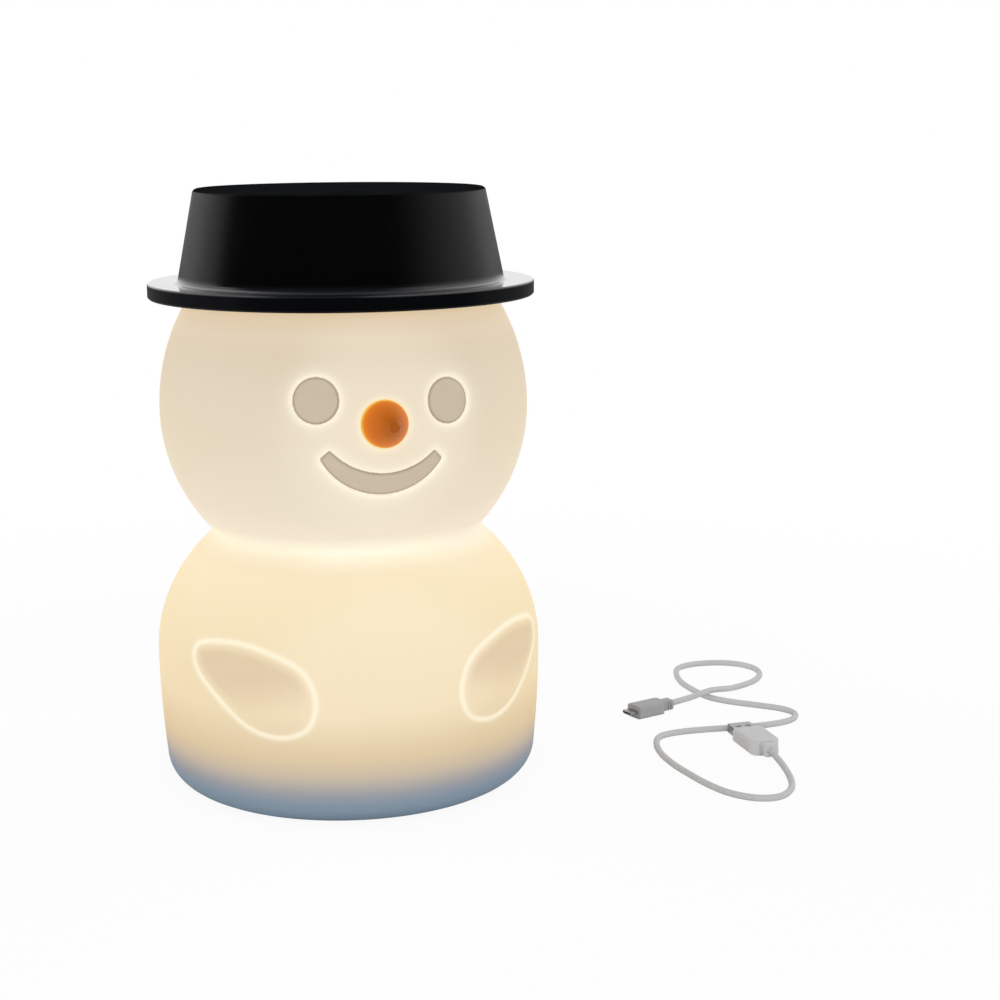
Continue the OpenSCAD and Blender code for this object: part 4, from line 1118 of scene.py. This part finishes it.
class SNOWMAN_OT_nose(bpy.types.Operator):
    """Builds the orange cone of the nose"""

    bl_idname = "snowman.nose"
    bl_label = "Nose"

    def execute(self, context):
        scene = context.scene
        face = scene.snowman_face
        start, axis = SkinForm(scene.snowman_skin, face, scene.snowman_mittens).nose_axis()
        cap_angle = math.radians(15)
        tip_middle = face.nose_length - face.nose_tip
        cone_end = (face.nose_tip * math.cos(cap_angle), tip_middle + face.nose_tip * math.sin(cap_angle))
        run = np.linspace(0, 1, 26)[1:-1]
        cone_start = (face.nose_radius - 0.0004, 0.0009)
        cone = [cone_start[k] + (cone_end[k] - cone_start[k]) * run for k in (0, 1)]
        cap = np.linspace(cap_angle, math.pi / 2, 14)[:-1]
        radii = np.concatenate([
            [face.nose_radius, face.nose_radius - 0.0001, face.nose_radius - 0.0003],
            cone[0] + 0.0004 * np.sin(np.pi * run), face.nose_tip * np.cos(cap),
        ])
        reach = np.concatenate([
            [-0.0018, -0.0010, 0.0002], cone[1], tip_middle + face.nose_tip * np.sin(cap),
        ])
        up = np.cross([1.0, 0.0, 0.0], axis)
        point = start + reach[:, None, None] * axis + radii[:, None, None] * (
            np.cos(SPOKES)[:, None] * np.array([1.0, 0.0, 0.0]) + np.sin(SPOKES)[:, None] * up
        )
        rows, columns = point.shape[:2]
        faces = grid_faces(rows, columns, closed=True).tolist() + fan_faces(rows, columns)
        points = np.vstack([point.reshape(-1, 3), start + face.nose_length * axis])
        places = np.append(np.repeat(reach, columns), face.nose_length)
        piece = shell_piece("nose_cone", points, faces, nose_silicone(face), {"reach": places})
        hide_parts("nose")
        return {"FINISHED"}


class SNOWMAN_OT_hat(bpy.types.Operator):
    """Finishes the black hat"""

    bl_idname = "snowman.hat"
    bl_label = "Hat"

    def execute(self, context):
        low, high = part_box("hat")
        coat("hat", hat_plastic(low.z, high.z))
        return {"FINISHED"}


class SNOWMAN_OT_base(bpy.types.Operator):
    """Finishes the moulded base, its cover, pad, screws and rear controls"""

    bl_idname = "snowman.base"
    bl_label = "Base"

    def execute(self, context):
        white = (0.80, 0.79, 0.76)
        coat("base_housing base_cover switch_plunger", moulded("white_abs", white, rough=0.45))
        coat("base_pad", moulded("grey_pad", (0.16, 0.16, 0.165), rough=0.85, grain=500, depth=0.3))
        coat("cover_screws board_screws led_screws", metal("zinc_steel", (0.62, 0.62, 0.63), 0.3))
        coat("power_button", moulded("button_grey", (0.62, 0.61, 0.59), rough=0.4))
        coat("status_light_pipe", clear_acrylic())
        coat("usb_socket", metal("socket_steel", (0.52, 0.52, 0.54), 0.25))
        return {"FINISHED"}


class SNOWMAN_OT_light_unit(bpy.types.Operator):
    """Finishes the lights, the battery and the boards inside"""

    bl_idname = "snowman.light_unit"
    bl_label = "Light and Electronics"

    def execute(self, context):
        coat("diffuser_dome", lit_part("frosted_dome", (0.80, 0.78, 0.74), (0.30, 0.26, 0.18), 0.6))
        coat("leds", lit_part("led_yellow", (0.90, 0.72, 0.22), (0.9, 0.72, 0.4), 0.25))
        coat("status_led", lit_part("led_red", (0.80, 0.10, 0.06), (0.3, 0.02, 0.01), 0.25))
        coat("led_board", circuit_board("light_board", (0.78, 0.78, 0.75), (0.86, 0.86, 0.84)))
        coat("control_board", circuit_board("green_board", (0.02, 0.12, 0.05), (0.05, 0.22, 0.10)))
        coat("board_parts button_switch", moulded("chip_black", (0.02, 0.02, 0.022), rough=0.45))
        coat("battery", moulded("cell_wrap", (0.03, 0.09, 0.26), rough=0.28, level=0.5))
        coat("battery_wires", moulded("wire_red", (0.42, 0.02, 0.015), rough=0.35))
        coat("led_wires", moulded("wire_black", (0.02, 0.02, 0.02), rough=0.35))
        return {"FINISHED"}


class SNOWMAN_OT_stage(bpy.types.Operator):
    """Lays the pale floor and hangs the soft lights"""

    bl_idname = "snowman.stage"
    bl_label = "Stage"

    def execute(self, context):
        settings = context.scene.snowman_stage
        self.floor(settings)
        self.world(context.scene, settings)
        self.light("left_softbox", (-1.15, 0.55, 0.7), (0, 0, 0.16), (0.9, 1.3), settings.side_power)
        self.light("right_softbox", (1.25, 0.25, 0.7), (0, 0, 0.16), (0.9, 1.3), settings.side_power)
        self.light("front_softbox", (-0.3, -1.7, 1.1), (0, 0, 0.12), (1.8, 1.4), settings.front_power)
        context.scene.view_settings.view_transform = "Standard"
        return {"FINISHED"}

    def floor(self, settings):
        size = 12.0
        corners = [(-size, -size, 0), (size, -size, 0), (size, size, 0), (-size, size, 0)]
        mesh = bpy.data.meshes.new("floor")
        mesh.from_pydata([Vector(corner) for corner in corners], [], [(0, 1, 2, 3)])
        floor = bpy.data.objects.new("floor", mesh)
        bpy.context.scene.collection.objects.link(floor)
        mesh.materials.append(self.floor_material(settings))

    def floor_material(self, settings):
        """Pale card whose far part the camera sees as white, with no horizon."""
        finish = Finish("pale_floor", Roughness=0.9, Specular_IOR_Level=0.1)
        tone = finish.noise(3, 2)
        finish.set(Base_Color=finish.mix(tone, scaled(settings.floor, 0.99), scaled(settings.floor, 1.01)))
        reach = finish.node("ShaderNodeVectorMath", {"operation": "LENGTH"}, {0: finish.place}, out="Value")
        white = finish.step(reach, 0.25, 0.7) * (1 - settings.card) + settings.card
        seen = finish.node("ShaderNodeLightPath", out="Is Camera Ray")
        gloss = Value(finish, seen.socket.node.outputs["Is Glossy Ray"])
        glow = finish.node("ShaderNodeEmission", inputs={"Color": (1.0, 1.0, 1.0), "Strength": 1.0})
        dim = finish.node("ShaderNodeEmission", inputs={"Color": (1.0, 1.0, 1.0), "Strength": settings.room})
        front = gloss * finish.step(finish.axis("Y"), -0.5, -1.1)
        lit = finish.mix_shader(front, Value(finish, finish.shader.outputs[0]), dim)
        finish.feed(finish.surface, finish.mix_shader(seen * white, lit, glow))
        return finish.material

    def world(self, scene, settings):
        """Even light. The camera and clear plastic see white behind, and gloss sees a dim room in front."""
        scene.world = bpy.data.worlds.new("studio")
        scene.world.use_nodes = True
        nodes = Nodes(scene.world.node_tree)
        path = nodes.node("ShaderNodeLightPath", out="Is Camera Ray")
        rays = path.socket.node.outputs
        toward = nodes.node("ShaderNodeTexCoord", out="Generated")
        parts = nodes.node("ShaderNodeSeparateXYZ", inputs={0: toward}).socket.node.outputs
        turn = Value(nodes, parts["X"]).math("ARCTAN2", Value(nodes, parts["Y"]) * -1.0)
        back = nodes.step(turn, 0.45, 1.45).math("MAXIMUM", nodes.step(turn, -1.75, -2.05))
        gloss = Value(nodes, rays["Is Glossy Ray"]) * (back * (1 - settings.room) + settings.room)
        seen = path.math("MAXIMUM", Value(nodes, rays["Is Transmission Ray"])).math("MAXIMUM", gloss)

        def background(tone, strength):
            return nodes.node("ShaderNodeBackground", inputs={"Color": tone, "Strength": strength})

        plain = background((0.96, 0.98, 1.0), settings.world)
        dark = background((0.0, 0.0, 0.0), 0.0)
        white = background((1.0, 1.0, 1.0), 1.0)
        even = nodes.mix_shader(Value(nodes, rays["Is Glossy Ray"]), plain, dark)
        nodes.node("ShaderNodeOutputWorld", inputs={"Surface": nodes.mix_shader(seen, even, white)}, out=None)

    def light(self, name, place, aim, size, power):
        data = bpy.data.lights.new(name, "AREA")
        data.shape = "RECTANGLE"
        data.size, data.size_y = size
        data.energy = power
        light = bpy.data.objects.new(name, data)
        bpy.context.scene.collection.objects.link(light)
        light.location = place
        light.rotation_euler = (Vector(aim) - Vector(place)).to_track_quat("-Z", "Y").to_euler()
        light.visible_glossy = False


class SNOWMAN_PT_panel(bpy.types.Panel):
    """Lists the steps that build the night light"""

    bl_label = "Snowman Night Light"
    bl_idname = "SNOWMAN_PT_panel"
    bl_space_type = "VIEW_3D"
    bl_region_type = "UI"
    bl_category = "Night Light"

    def draw(self, context):
        for operator in OPERATORS:
            self.layout.operator(operator.bl_idname)


OPERATORS = [
    SNOWMAN_OT_camera, SNOWMAN_OT_lead, SNOWMAN_OT_plugs, SNOWMAN_OT_skin, SNOWMAN_OT_face, SNOWMAN_OT_nose,
    SNOWMAN_OT_hat, SNOWMAN_OT_base, SNOWMAN_OT_light_unit, SNOWMAN_OT_stage,
]
CLASSES = [*SETTINGS.values(), *OPERATORS, SNOWMAN_PT_panel]


def register():
    for cls in CLASSES:
        bpy.utils.register_class(cls)
    for name, group in SETTINGS.items():
        setattr(bpy.types.Scene, name, PointerProperty(type=group))


def unregister():
    for name in SETTINGS:
        delattr(bpy.types.Scene, name)
    for cls in reversed(CLASSES):
        bpy.utils.unregister_class(cls)


# ---- Measures ----


def write_points():
    """Works out how far each thing shows from its image point; the result is not kept."""
    scene = bpy.context.scene
    hat = image_spread(finished_points(NODES["hat"]))
    skin = image_spread(finished_points(bpy.data.objects["lit_skin"])[::7])
    middles = {}
    for name, piece in (("left_eye", "left_eye_inlay"), ("right_eye", "right_eye_inlay"), ("mouth", "mouth_inlay")):
        low, high = image_spread(finished_points(bpy.data.objects[piece]))
        middles[name] = (low + high) / 2
    for name, node in (("small_plug", "micro_plug_body"), ("large_plug", "usb_plug_body")):
        low, high = image_spread(finished_points(NODES[node]))
        middles[name] = (low + high) / 2
    form = SkinForm(scene.snowman_skin, scene.snowman_face, scene.snowman_mittens)
    root, axis = form.nose_axis()
    middles["nose_tip"] = image_place(root + axis * scene.snowman_face.nose_length)
    for name, side in (("left_mitten", -1), ("right_mitten", 1)):
        middles[name] = mitten_middle(form, side)
    shown = {
        "brim_left": (hat[0][0], None), "brim_right": (hat[1][0], None), "hat_top": (None, hat[0][1]),
        "foot_bottom": (None, skin[1][1]), **middles,
    }
    for name, point in IMAGE_POINTS.items():
        [
            None if wanted is None else round(float(seen) - wanted, 2) for seen, wanted in zip(shown[name], point)
        ]


def mitten_middle(form, side):
    """The middle of what shows of a mitten's outline."""
    turn = side * form.mitten.turn
    line = form.mitten_line
    across, rise = line[:, 0] * side, line[:, 1]
    radius, height, _, _ = form.at(form.run_at(rise + form.mitten.height))
    facing = np.sqrt(radius**2 - across**2)
    x = across * math.cos(turn) + facing * math.sin(turn)
    y = across * math.sin(turn) - facing * math.cos(turn)
    origin = np.array(bpy.context.scene.camera.matrix_world.translation)
    point = np.stack([x, y, height], 1)
    seen = ((origin - point) * np.stack([x, y, np.zeros_like(x)], 1)).sum(1) > 0
    low, high = image_spread(point[seen])
    return (low + high) / 2


def main():
    register()
    for operator in OPERATORS:
        group, name = operator.bl_idname.split(".")
        getattr(getattr(bpy.ops, group), name)()
    bpy.context.view_layer.update()
    write_points()


if __name__ == "__main__":
    main()
